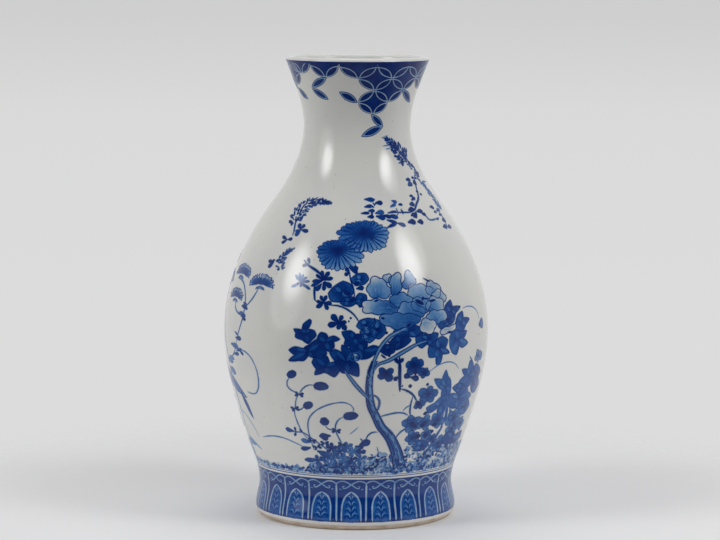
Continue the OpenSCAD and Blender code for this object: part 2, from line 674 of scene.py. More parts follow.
class Nib(Enum):
    """How the width of a brush mark runs from its start to its end."""

    EVEN = "even"
    TAPER = "taper"
    TAIL = "tail"
    LEAF = "leaf"
    PETAL = "petal"
    DAB = "dab"

    def widths(self, t: np.ndarray) -> np.ndarray:
        """Works out the width along the mark.

        Args:
            t: Shares of the way along.

        Returns:
            The shares of the full width.
        """
        bow = np.sin(np.pi * np.clip(t, 0, 1))
        shapes = {
            Nib.EVEN: np.clip(bow * 6, 0.25, 1),
            Nib.TAPER: 0.25 + 0.75 * bow**0.6,
            Nib.TAIL: np.clip(t * 8, 0.4, 1) * (1 - 0.85 * t),
            Nib.LEAF: 0.06 + 0.94 * bow**0.75,
            Nib.PETAL: 0.16 + 0.84 * np.sin(np.pi * np.clip(t, 0, 1) ** 1.7) ** 0.65,
            Nib.DAB: 0.2 + 0.8 * bow**0.45,
        }
        return shapes[self]


@dataclass(frozen=True)
class Panel:
    """Where on the vase a composition is painted."""

    centre: float = 0.0
    mirrored: bool = False
    rise: float = 0.0

    def put(self, points: np.ndarray) -> np.ndarray:
        """Moves places of the composition onto the vase.

        Args:
            points: Angles and heights, one row each.

        Returns:
            The moved rows.
        """
        side = -1.0 if self.mirrored else 1.0
        return np.stack([self.centre + side * points[..., 0], points[..., 1] + self.rise], axis=-1)


def even_path(line: np.ndarray, step: float, form: VaseForm) -> np.ndarray:
    """Spaces the places of a line evenly.

    Args:
        line: Its places, one row each.
        step: Spacing of the result, in millimetres on the face.
        form: The vase.

    Returns:
        Evenly spaced places, one row each.
    """
    across, up = form.scale(line[:, 1])
    hops = np.diff(line, axis=0) * np.stack([across, up], axis=-1)[:-1]
    run = np.concatenate([[0.0], np.cumsum(np.hypot(hops[:, 0], hops[:, 1]))])
    count = max(3, math.ceil(run[-1] / step))
    want = np.linspace(0, run[-1], count + 1)
    return np.stack([np.interp(want, run, line[:, 0]), np.interp(want, run, line[:, 1])], axis=-1)


def smooth_path(points: Path, step: float, form: VaseForm, closed: bool = False) -> np.ndarray:
    """Draws a smooth line through places.

    Args:
        points: The places.
        step: Spacing of the result, in millimetres on the face.
        form: The vase.
        closed: Whether the line returns to its start.

    Returns:
        Evenly spaced places, one row each, without the repeated start of a closed line.
    """
    knots = np.array(points, float)
    if closed:
        ring = np.vstack([knots[-1:], knots, knots[:2]])
    else:
        ring = np.vstack([2 * knots[:1] - knots[1:2], knots, 2 * knots[-1:] - knots[-2:-1]])
    share = np.linspace(0, 1, 9)[:-1, None]
    runs = []
    for p0, p1, p2, p3 in zip(ring, ring[1:], ring[2:], ring[3:]):
        runs.append(
            0.5
            * (
                2 * p1
                + (p2 - p0) * share
                + (2 * p0 - 5 * p1 + 4 * p2 - p3) * share**2
                + (3 * p1 - p0 - 3 * p2 + p3) * share**3
            )
        )
    line = even_path(np.vstack(runs + [ring[-2:-1]]), step, form)
    return line[:-1] if closed else line


def leaf_path(points: Path, step: float, form: VaseForm, bulge: float, spur: float) -> np.ndarray:
    """Draws a leaf's edge: a shallow arc to each next place, with a corner at each.

    Args:
        points: The corners.
        step: Spacing of the result, in millimetres on the face.
        form: The vase.
        bulge: How far an arc stands out, as a share of its length.
        spur: How far the sharpest tips are drawn out, and notches in, in millimetres.

    Returns:
        Evenly spaced places, one row each, without the repeated start.
    """
    knots = np.array(points, float)
    metric = np.array([float(v) for v in form.scale(knots[:, 1].mean())])
    flat = (knots - knots.mean(axis=0)) * metric
    side = np.sign(np.cross(flat, np.roll(flat, -1, axis=0)).sum())
    coming, going = flat - np.roll(flat, 1, axis=0), np.roll(flat, -1, axis=0) - flat
    sizes = [np.hypot(way[:, 0], way[:, 1]) for way in (coming, going)]
    turn = np.clip(side * np.cross(coming, going) / (sizes[0] * sizes[1]), -0.7, 1)
    flat = flat + flat / np.hypot(flat[:, 0], flat[:, 1])[:, None] * spur * turn[:, None]
    ahead = np.roll(flat, -1, axis=0)
    way = ahead - flat
    peaks = (flat + ahead) / 2 + 2 * bulge * side * np.stack([way[:, 1], -way[:, 0]], axis=-1)
    share = np.linspace(0, 1, 6)[:-1, None]
    runs = [
        (1 - share) ** 2 * start + 2 * share * (1 - share) * peak + share**2 * end
        for start, peak, end in zip(flat, peaks, ahead)
    ]
    return even_path(np.vstack(runs + [flat[:1]]) / metric + knots.mean(axis=0), step, form)[:-1]


class Film:
    """Cobalt laid on the vase: brush marks gathered into one piece."""

    base_lift = 0.06
    layer_lift = 0.015
    root_depth = 0.06
    cell = 2.2
    bleed = 0.55
    bleed_tone = 0.34

    def __init__(self, name: str, form: VaseForm, seed: int, panel: Panel = Panel()) -> None:
        """Starts an empty film.

        Args:
            name: Name of the piece.
            form: The vase.
            seed: Seed of its own random draws.
            panel: Where it is painted.
        """
        self.name = name
        self.form = form
        self.panel = panel
        self.luck = random.Random(seed)
        self._places: list[np.ndarray] = []
        self._lifts: list[np.ndarray] = []
        self._tones: list[np.ndarray] = []
        self._faces: list[np.ndarray] = []
        self._tops: list[np.ndarray] = []
        self._count = 0

    def _lay(
        self,
        places: np.ndarray,
        tones: np.ndarray,
        faces: np.ndarray,
        rims: Sequence[np.ndarray],
        layer: float,
    ) -> None:
        """Adds one mark as a closed film: its top, a copy sunk in the glaze, and walls round it.

        Args:
            places: Angles and heights of its points, one row each.
            tones: Darkness of each point.
            faces: Corners of its faces, four to a row, the last repeated for a triangle.
            rims: Points round each of its edges, in order, with the mark on their left.
            layer: How many marks it lies over.
        """
        spots = self.panel.put(places)
        if self.panel.mirrored:
            faces = faces[:, ::-1]
            rims = [rim[::-1] for rim in rims]
        size = len(spots)
        walls = []
        for rim in rims:
            ahead = np.roll(rim, -1)
            walls.append(np.stack([rim, rim + size, ahead + size, ahead], axis=-1))
        wall = np.vstack(walls)
        lift = self.base_lift + layer * self.layer_lift
        self._places += [spots, spots]
        self._lifts += [np.full(size, lift), np.full(size, -self.root_depth)]
        self._tones += [tones, tones]
        self._faces += [faces + self._count, faces[:, ::-1] + self._count + size, wall + self._count]
        self._tops += [np.ones(len(faces), bool), np.zeros(len(faces) + len(wall), bool)]
        self._count += 2 * size

    def stroke(
        self,
        points: Path,
        width: float,
        tone: float | tuple[float, float] = 0.8,
        layer: float = 1,
        nib: Nib = Nib.TAPER,
        edge: float = 0.0,
        step: float = 1.6,
    ) -> None:
        """Lays a brush stroke along a path.

        Args:
            points: Places that the middle of the stroke goes through.
            width: Full width in millimetres.
            tone: Darkness, or darkness at its start and at its end.
            layer: How many marks it lies over.
            nib: How its width runs.
            edge: How much darker its two edges are.
            step: Spacing of its cross sections in millimetres.
        """
        line = smooth_path(points, step, self.form)
        self._ribbon(line, width * nib.widths(np.linspace(0, 1, len(line))), tone, layer, edge)

    def _ribbon(
        self,
        line: np.ndarray,
        widths: np.ndarray,
        tone: float | tuple[float, float],
        layer: float,
        edge: float = 0.0,
        closed: bool = False,
    ) -> None:
        """Lays a strip of varying width along a line.

        Args:
            line: Places along its middle.
            widths: Its full width at each place, in millimetres.
            tone: Darkness, or darkness at its start and at its end.
            layer: How many marks it lies over.
            edge: How much darker its two edges are.
            closed: Whether its end meets its start.
        """
        ends = tone if isinstance(tone, tuple) else (tone, tone)
        cells = max(1 if edge == 0 else 2, math.ceil(float(widths.max()) / self.cell))
        shares = np.linspace(-0.5, 0.5, cells + 1)
        run = np.linspace(ends[0], ends[1], len(line))[:, None]
        self._grid(line, widths[:, None] * shares, run + edge * np.abs(2 * shares), layer, closed)
        if self.bleed and min(ends) > 0.4:
            spread = widths[:, None] * np.array([-0.5, -0.4, 0.4, 0.5])
            spread = spread + self.bleed * np.array([-1.0, 0.0, 0.0, 1.0])
            fading = run * np.array([0.0, self.bleed_tone, self.bleed_tone, 0.0])
            self._grid(line[::2], spread[::2], fading[::2], -2 * self.luck.random(), closed)

    def _grid(
        self, line: np.ndarray, offsets: np.ndarray, tones: np.ndarray, layer: float, closed: bool
    ) -> None:
        """Lays a strip of quads beside a line.

        Args:
            line: Places along it.
            offsets: How far each column lies to the left at each place, in millimetres.
            tones: Darkness of each point.
            layer: How many marks it lies over.
            closed: Whether its end meets its start.
        """
        across, up = self.form.scale(line[:, 1])
        metric = np.stack([across, up], axis=-1)
        if closed:
            way = (np.roll(line, -1, axis=0) - np.roll(line, 1, axis=0)) * metric
        else:
            way = np.gradient(line, axis=0) * metric
        way /= np.maximum(np.hypot(way[:, 0], way[:, 1]), 1e-9)[:, None]
        side = np.stack([-way[:, 1], way[:, 0]], axis=-1) / metric
        grid = line[:, None, :] + side[:, None, :] * offsets[..., None]
        index = np.arange(offsets.size).reshape(offsets.shape)
        loop = np.vstack([index, index[:1]]) if closed else index
        faces = np.stack([loop[:-1, :-1], loop[1:, :-1], loop[1:, 1:], loop[:-1, 1:]], axis=-1)
        if closed:
            rims = [index[:, 0], index[::-1, -1]]
        else:
            rims = [np.concatenate([index[:-1, 0], index[-1, :-1], index[:0:-1, -1], index[0, :0:-1]])]
        self._lay(grid.reshape(-1, 2), tones.ravel(), faces.reshape(-1, 4), rims, layer)

    def ring(self, points: np.ndarray, width: float, tone: float, layer: float) -> None:
        """Lays a line that returns to its start.

        Args:
            points: Evenly spaced places round it.
            width: Full width in millimetres.
            tone: Darkness.
            layer: How many marks it lies over.
        """
        self._ribbon(points, np.full(len(points), width), tone, layer, closed=True)

    def band(self, low: float, high: float, tone: float, layer: float) -> None:
        """Lays a band right round the vase.

        Args:
            low: Height of its lower edge.
            high: Height of its upper edge.
            tone: Darkness.
            layer: How many marks it lies over.
        """
        middle = (low + high) / 2
        turns = np.arange(0, 360, 1.5)
        line = np.stack([turns, np.full(len(turns), middle)], axis=-1)
        cells = max(1, math.ceil((high - low) / self.cell))
        heights = np.linspace(high, low, cells + 1)
        grid = np.stack(np.broadcast_arrays(line[:, None, 0], heights[None, :]), axis=-1)
        index = np.arange(grid.shape[0] * grid.shape[1]).reshape(grid.shape[:2])
        loop = np.vstack([index, index[:1]])
        faces = np.stack([loop[:-1, :-1], loop[:-1, 1:], loop[1:, 1:], loop[1:, :-1]], axis=-1)
        rims = [index[::-1, 0], index[:, -1]]
        self._lay(grid.reshape(-1, 2), np.full(index.size, tone), faces.reshape(-1, 4), rims, layer)

    def fill(
        self,
        points: np.ndarray,
        heart: Place,
        tone: tuple[float, float],
        layer: float,
        foot: Place | None = None,
    ) -> None:
        """Fills an outline that can be seen whole from its heart.

        Args:
            points: Evenly spaced places round the outline.
            heart: The place that it is filled from.
            tone: Darkness near the foot and furthest from it.
            layer: How many marks it lies over.
            foot: Where the brush was set down, or the heart.
        """
        middle = np.array(heart, float)
        across, up = (float(v) for v in self.form.scale(middle[1]))
        metric = np.array([across, up])
        reach = np.hypot(*((points - middle) * metric).T)
        rings = max(2, math.ceil(float(reach.max()) / self.cell))
        count = len(points)
        shares = np.arange(1, rings + 1) / rings
        places = np.vstack([middle[None, :]] + [middle + (points - middle) * s for s in shares])
        start = np.array(foot or heart, float)
        far = np.hypot(*((places - start) * metric).T)
        tones = tone[0] + (tone[1] - tone[0]) * np.clip(far / far.max(), 0, 1) ** 1.3
        own = np.arange(count)
        ahead = np.roll(own, -1)
        faces = [np.stack([np.zeros(count, int), own + 1, ahead + 1, ahead + 1], axis=-1)]
        for ring in range(rings - 1):
            low, high = 1 + ring * count, 1 + (ring + 1) * count
            faces.append(np.stack([own + low, own + high, ahead + high, ahead + low], axis=-1))
        area = np.cross(points - middle, np.roll(points, -1, axis=0) - middle).sum()
        rim = own + 1 + (rings - 1) * count
        corners = np.vstack(faces)
        if area < 0:
            corners = np.vstack([corners[:count][:, [0, 2, 1, 1]], corners[count:, ::-1]])
            rim = rim[::-1]
        self._lay(places, tones, corners, [rim], layer)

    def shape(
        self,
        outline: Path,
        tone: tuple[float, float],
        layer: float,
        line: float = 0.6,
        line_tone: float = 0.95,
        heart: Place | None = None,
        foot: Place | None = None,
        step: float = 1.5,
    ) -> None:
        """Lays a filled shape with a drawn outline.

        Args:
            outline: Places that its smooth edge goes through.
            tone: Darkness near the foot and furthest from it.
            layer: How many marks it lies over.
            line: Width of the outline in millimetres, or 0 for none.
            line_tone: Darkness of the outline.
            heart: Where it is filled from, or its middle.
            foot: Where the brush was set down, or the heart.
            step: Spacing of the points of its edge, in millimetres.
        """
        edge = smooth_path(outline, step, self.form, closed=True)
        middle = heart or (float(edge[:, 0].mean()), float(edge[:, 1].mean()))
        self.fill(edge, middle, tone, layer, foot)
        if line:
            self.ring(edge, line, line_tone, layer + 0.5)

    def local(self, centre: Place, offsets: Iterable[tuple[float, float]], turn: float = 0.0) -> list[Place]:
        """Turns offsets in millimetres into places.

        Args:
            centre: The place that they are measured from.
            offsets: Millimetres to the right and up.
            turn: Degrees that they are turned by, anticlockwise.

        Returns:
            The places.
        """
        c, s = math.cos(math.radians(turn)), math.sin(math.radians(turn))
        across, up = (float(v) for v in self.form.scale(np.array(centre[1])))
        return [
            (centre[0] + (x * c - y * s) / across, centre[1] + (x * s + y * c) / up) for x, y in offsets
        ]

    def oval(
        self, centre: Place, half: tuple[float, float], turn: float = 0.0, wobble: float = 0.0
    ) -> list[Place]:
        """Draws the outline of an oval.

        Args:
            centre: Its middle.
            half: Half its width and half its height in millimetres.
            turn: Degrees that it is turned by.
            wobble: How uneven it is, as a share of its size.

        Returns:
            The places round it.
        """
        count = 10
        offsets = []
        for i in range(count):
            a = 2 * math.pi * i / count
            reach = 1 + wobble * self.luck.uniform(-1, 1)
            offsets.append((half[0] * reach * math.cos(a), half[1] * reach * math.sin(a)))
        return self.local(centre, offsets, turn)

    def build(self, finish: bpy.types.Material) -> bpy.types.Object:
        """Makes the piece.

        Args:
            finish: Its material.

        Returns:
            The finished object, with the glaze's own normals on its face.
        """
        spots = np.vstack(self._places)
        lifts = np.concatenate(self._lifts)
        tones = np.concatenate(self._tones)
        faces = np.vstack(self._faces)
        tops = np.concatenate(self._tops)
        points = self.form.surface(spots[:, 0], spots[:, 1], lifts)
        corners = [f[:3] if f[2] == f[3] else (f[1:] if f[0] == f[1] else f) for f in faces.tolist()]
        mesh = bpy.data.meshes.new(self.name)
        mesh.from_pydata(points.tolist(), [], corners)
        layer = mesh.attributes.new(TONE, "FLOAT", "POINT")
        layer.data.foreach_set("value", np.clip(tones, 0, 1).astype(np.float32))
        mesh.polygons.foreach_set("use_smooth", np.ones(len(mesh.polygons), bool))
        owner = np.empty(len(mesh.loops), np.int32)
        mesh.loops.foreach_get("vertex_index", owner)
        sizes = np.empty(len(mesh.polygons), np.int32)
        mesh.polygons.foreach_get("loop_total", sizes)
        upward = np.repeat(tops, sizes)
        normals = self.form.normal(spots[:, 0], spots[:, 1])[owner]
        normals[~upward] = 0.0
        mesh.normals_split_custom_set(normals.tolist())
        mesh.update()
        mesh.materials.append(finish)
        piece = bpy.data.objects.new(self.name, mesh)
        bpy.context.scene.collection.objects.link(piece)
        return piece

    def lens(
        self,
        base: Place,
        tip: Place,
        width: float,
        tone: tuple[float, float] = (0.9, 0.75),
        layer: float = 2,
        bend: float = 0.0,
        nib: Nib = Nib.LEAF,
    ) -> None:
        """Lays a leaf in one stroke.

        Args:
            base: Where it grows from.
            tip: Its point.
            width: Full width in millimetres.
            tone: Darkness at its base and at its tip.
            layer: How many marks it lies over.
            bend: How far its middle is pushed to the left, in millimetres.
            nib: How its width runs.
        """
        across, up = (float(v) for v in self.form.scale(np.array(base[1])))
        run = ((tip[0] - base[0]) * across, (tip[1] - base[1]) * up)
        size = math.hypot(*run) or 1.0
        middle = (
            (base[0] + tip[0]) / 2 - bend * run[1] / size / across,
            (base[1] + tip[1]) / 2 + bend * run[0] / size / up,
        )
        path = [base, middle, tip]
        self.stroke(path, width, tone, layer, nib, 0.1, step=max(0.8, size / 8))

    def dab(self, place: Place, size: tuple[float, float], turn: float, tone: float, layer: float) -> None:
        """Lays a single touch of the brush.

        Args:
            place: Its middle.
            size: Its length and width in millimetres.
            turn: Degrees from level that it leans.
            tone: Darkness.
            layer: How many marks it lies over.
        """
        ends = self.local(place, [(-size[0] / 2, 0.0), (0.0, 0.0), (size[0] / 2, 0.0)], turn)
        self.stroke(ends, size[1], tone, layer, Nib.DAB, step=size[0] / 3.5)


# The painted borders


@dataclass
class RimBorder:
    """Net of linked rings hanging from the lip, with loose leaves below it."""

    form: VaseForm
    top: float = 302.3
    half: tuple[float, float] = (15.4, 7.8)
    line: float = 0.62
    inset: float = 0.93
    pale: float = 0.17
    net: tuple[Place, ...] = (
        (1.0, 299.8), (31.8, 299.8), (62.6, 299.8), (16.4, 292.0), (47.2, 292.0), (31.8, 284.2),
        (16.4, 276.4), (77.6, 292.0), (92.4, 299.8),
    )
    loose: tuple[Place, ...] = ((-28.2, 300.4), (-54.0, 302.6), (-71.5, 294.6), (-86.9, 302.4))
    leaves: tuple[tuple[Place, Place, float], ...] = (
        ((0.4, 276.4), (-17.0, 283.2), 5.6), ((46.6, 284.4), (66.0, 275.6), 5.2),
        ((14.6, 268.6), (28.4, 260.2), 5.0), ((28.4, 260.8), (4.5, 254.2), 5.6),
        ((-27.2, 292.4), (-46.5, 285.6), 5.2), ((-46.5, 284.8), (-29.0, 278.0), 5.2),
        ((-74.0, 284.5), (-56.6, 277.6), 4.8), ((93.0, 291.6), (107.0, 284.0), 5.2),
    )
    back_turn: float = 178.0

    def _arc(self, centre: Place, half: tuple[float, float], quarter: int) -> np.ndarray:
        """Draws a quarter of a ring.

        Args:
            centre: Middle of the ring.
            half: Half its width in degrees and half its height in millimetres.
            quarter: Which quarter, anticlockwise from the upper right.

        Returns:
            Its places below the lip.
        """
        turns = np.radians(np.linspace(90 * quarter, 90 * quarter + 90, 13))
        x = centre[0] + half[0] * self.inset * np.cos(turns)
        z = centre[1] + half[1] * self.inset * np.sin(turns)
        arc = np.stack([x, z], axis=-1)
        return arc[arc[:, 1] < self.top - 0.4]

    def _discs(self, film: Film, centres: tuple[Place, ...], half: tuple[float, float]) -> None:
        """Paints dark discs and the pale arcs that cut each of them into four leaves.

        Args:
            film: Where they go.
            centres: Their middles.
            half: Half their width in degrees and half their height in millimetres.
        """
        turns = np.linspace(0, 2 * math.pi, 49)[:-1]
        arcs: dict[tuple[float, float, int], np.ndarray] = {}
        for x, z in centres:
            edge = np.stack([x + half[0] * np.cos(turns), z + half[1] * np.sin(turns)], axis=-1)
            edge[:, 1] = np.minimum(edge[:, 1], self.top)
            film.fill(edge, (x, min(z, self.top - 3.5)), (0.94, 1.0), 1)
            for quarter, (right, up) in enumerate(((1, 1), (-1, 1), (-1, -1), (1, -1))):
                arcs[(x, z, quarter)] = self._arc((x, z), half, quarter)
                beside = (round(x + right * half[0], 2), round(z + up * half[1], 2))
                across = (quarter + 2) % 4
                if beside[1] < self.top + 2:
                    arcs[(*beside, across)] = self._arc(beside, half, across)
        for arc in arcs.values():
            if len(arc) > 3:
                film._ribbon(arc, np.full(len(arc), self.line), self.pale, 3)

    def _leaf(self, film: Film, leaf: tuple[Place, Place, float]) -> None:
        """Paints one loose leaf: dark, with a pale line inside its edge.

        Args:
            film: Where it goes.
            leaf: Its two points and its width.
        """
        start, end, width = leaf
        for trim, ease, tone in ((0.0, 0.0, 0.95), (0.9, 0.05, self.pale), (2.3, 0.13, 0.93)):
            tips = [tuple(s + (e - s) * t for s, e in zip(start, end)) for t in (ease, 1 - ease)]
            film.lens(tips[0], tips[1], width - trim, (tone, tone), 4 + ease * 30)

    def build(self, finish: bpy.types.Material) -> bpy.types.Object:
        """Paints the border.

        Args:
            finish: The cobalt.

        Returns:
            The piece.
        """
        film = Film("rim_border", self.form, 11)
        film.cell = 1.7
        film.bleed = 0.0
        film.band(301.2, 302.9, 0.94, 7)
        for turn in (0.0, self.back_turn):
            film.panel = Panel(turn)
            self._discs(film, self.net, self.half)
            self._discs(film, self.loose, (13.2, 8.0))
            for leaf in self.leaves:
                self._leaf(film, leaf)
        return film.build(finish)


@dataclass
class FootBorder:
    """Cobalt band round the foot, divided into arches with a pale scroll over each."""

    form: VaseForm
    low: float = 5.6
    high: float = 33.8
    arches: int = 21
    first: float = -2.2
    arch_half: float = 5.35
    jitter: float = 0.45
    pale: float = 0.17

    def _mirror(self, centre: float, path: Path, side: int) -> list[Place]:
        """Places a path drawn from the middle of an arch."""
        return [(centre + side * x, z) for x, z in path]

    def _arch(self, film: Film, centre: float) -> None:
        """Paints one arch, the leaf scrolls in it and the scroll over it.

        Args:
            film: Where it goes.
            centre: Degrees to its middle.
        """
        luck = film.luck
        half = self.arch_half + luck.uniform(-0.3, 0.3)
        tip = 25.2 + luck.uniform(-0.5, 0.5)
        inner = [(-half + 0.5, 6.6), (-half + 0.4, 16), (-half * 0.55, 22.4), (0, tip - 1.4)]
        outline = [(centre + x, z) for x, z in inner] + [(centre - x, z) for x, z in inner[-2::-1]]
        film.shape(outline, (0.56, 0.66), 2, 0, heart=(centre, 13.0))
        for side in (-1, 1):
            wall = [(half, 6.2), (half * 1.0, 12), (half * 0.93, 17.5), (half * 0.62, 22.2), (0.0, tip)]
            film.stroke(self._mirror(centre, wall, side), 1.05, self.pale, 5, Nib.EVEN)
            for row in range(4):
                low = 7.6 + row * 3.7 + luck.uniform(-0.4, 0.4)
                reach = half * (0.72 - 0.09 * row)
                curl = [(0.3, low), (reach * 0.5, low + 2.4), (reach, low + 1.9), (reach * 0.9, low + 0.4)]
                film.stroke(self._mirror(centre, curl, side), 1.0, 0.80, 3.5, Nib.TAPER, step=1.1)
                film.stroke(
                    self._mirror(centre, [(x * 0.8, z + 1.5) for x, z in curl[:3]], side), 0.6, 0.27, 4
                )
            swag = [(9.0, 30.4), (6.9, 32.1), (4.0, 32.5), (1.6, 31.2), (-0.6, 29.7), (-2.9, 27.9)]
            swag += [(-4.6, 27.6), (-4.9, 29.0), (-3.7, 29.3)]
            film.stroke(self._mirror(centre, swag, side), 0.8, self.pale + 0.05, 5 + 0.5 * side, Nib.EVEN)
            film.dab((centre + side * 6.3, 27.0), (1.6, 0.7), 20 * side, self.pale + 0.1, 5)
        film.stroke([(centre, 7), (centre, 14), (centre, 21)], 0.8, 0.85, 3, Nib.TAPER)

    def build(self, finish: bpy.types.Material) -> bpy.types.Object:
        """Paints the border.

        Args:
            finish: The cobalt.

        Returns:
            The piece.
        """
        film = Film("foot_border", self.form, 12)
        film.bleed = 0.0
        film.band(self.low, self.high, 0.86, 1)
        film.band(self.low, self.low + 0.9, 0.92, 1.5)
        film.band(self.high - 0.7, self.high, 0.9, 1.5)
        film.band(35.1, 35.7, 0.6, 1)
        film.band(36.4, 36.9, 0.42, 1)
        pitch = 360 / self.arches
        for index in range(self.arches):
            centre = self.first + index * pitch + film.luck.uniform(-self.jitter, self.jitter)
            self._arch(film, centre)
            edge = self.first + (index + 0.5) * pitch + film.luck.uniform(-0.3, 0.3)
            lean = film.luck.uniform(-0.6, 0.6)
            divider = [(edge + lean, 6.2), (edge + lean * 0.3, 18), (edge, 30.6)]
            film.stroke(divider, 1.15, self.pale, 6, Nib.EVEN)
        return film.build(finish)


# The painted flowers


@dataclass
class Chrysanthemum:
    """Full flower seen from the side: long narrow petals drawn round a heaped dark heart."""

    centre: Place
    reach: tuple[float, float, float, float]
    petals: int = 30
    sun: float = 125.0

    def _length(self, turn: float) -> float:
        """Works out how far the petals reach.

        Args:
            turn: Direction in degrees, anticlockwise from the right.

        Returns:
            Millimetres from the middle.
        """
        right, up, left, down = self.reach
        x, y = math.cos(math.radians(turn)), math.sin(math.radians(turn))
        wide = right if x > 0 else left
        high = up if y > 0 else down
        return 1 / math.hypot(x / wide, y / high)

    def _shade(self, turn: float) -> float:
        """Works out how much of the shaded side a direction has.

        Args:
            turn: Direction in degrees.

        Returns:
            A share from 0, towards the light, to 1, on the shaded side.
        """
        return 0.5 + 0.5 * math.cos(math.radians(turn - self.sun))

    def paint(self, film: Film) -> None:
        """Paints the flower.

        Args:
            film: Where it goes.
        """
        luck = film.luck
        for index in range(self.petals):
            turn = 360 * (index + luck.uniform(-0.12, 0.12)) / self.petals
            size = self._length(turn) * luck.uniform(0.94, 1.04)
            shade = self._shade(turn)
            half = min(max(math.pi * size / self.petals, 0.8), 1.9) * luck.uniform(0.9, 1.0)
            sides = [(0.2, 0.25), (0.5, 0.6), (0.78, 1.0), (0.93, 0.8)]
            shape = [(size * along, -half * wide) for along, wide in sides] + [(size, 0.0)]
            shape += [(size * along, half * wide) for along, wide in sides[::-1]]
            outline = film.local(self.centre, shape, turn)
            heart = film.local(self.centre, [(size * 0.6, 0.0)], turn)[0]
            tones = (0.58 + 0.28 * shade, 0.20 + 0.40 * shade)
            film.shape(outline, tones, 2 + 0.3 * (index % 3), 0.6, 0.84, heart, self.centre, step=1.5)
        for index in range(3 * self.petals):
            turn = 360 * (index + luck.uniform(-0.4, 0.4)) / (3 * self.petals)
            size = self._length(turn) * (0.32 + 0.40 * self._shade(turn)) * luck.uniform(0.75, 1.1)
            ray = film.local(self.centre, [(0.0, 0.0), (size * 0.5, 0.0), (size, 0.0)], turn)
            film.stroke(ray, 2.3, (0.92, 0.72), 4 + luck.random(), Nib.TAIL, step=2.0)
        for index in range(2 * self.petals):
            turn = 180 * (index + luck.uniform(-0.2, 0.2)) / self.petals
            size = self._length(turn) * luck.uniform(0.3, 0.62)
            ray = film.local(self.centre, [(size * 0.15, 0.0), (size, 0.0)], turn)
            film.stroke(ray, 0.5, (0.99, 0.84), 6, Nib.TAIL, step=2.0)
        film.dab(self.centre, (4.6, 2.4), 4, 0.99, 7)


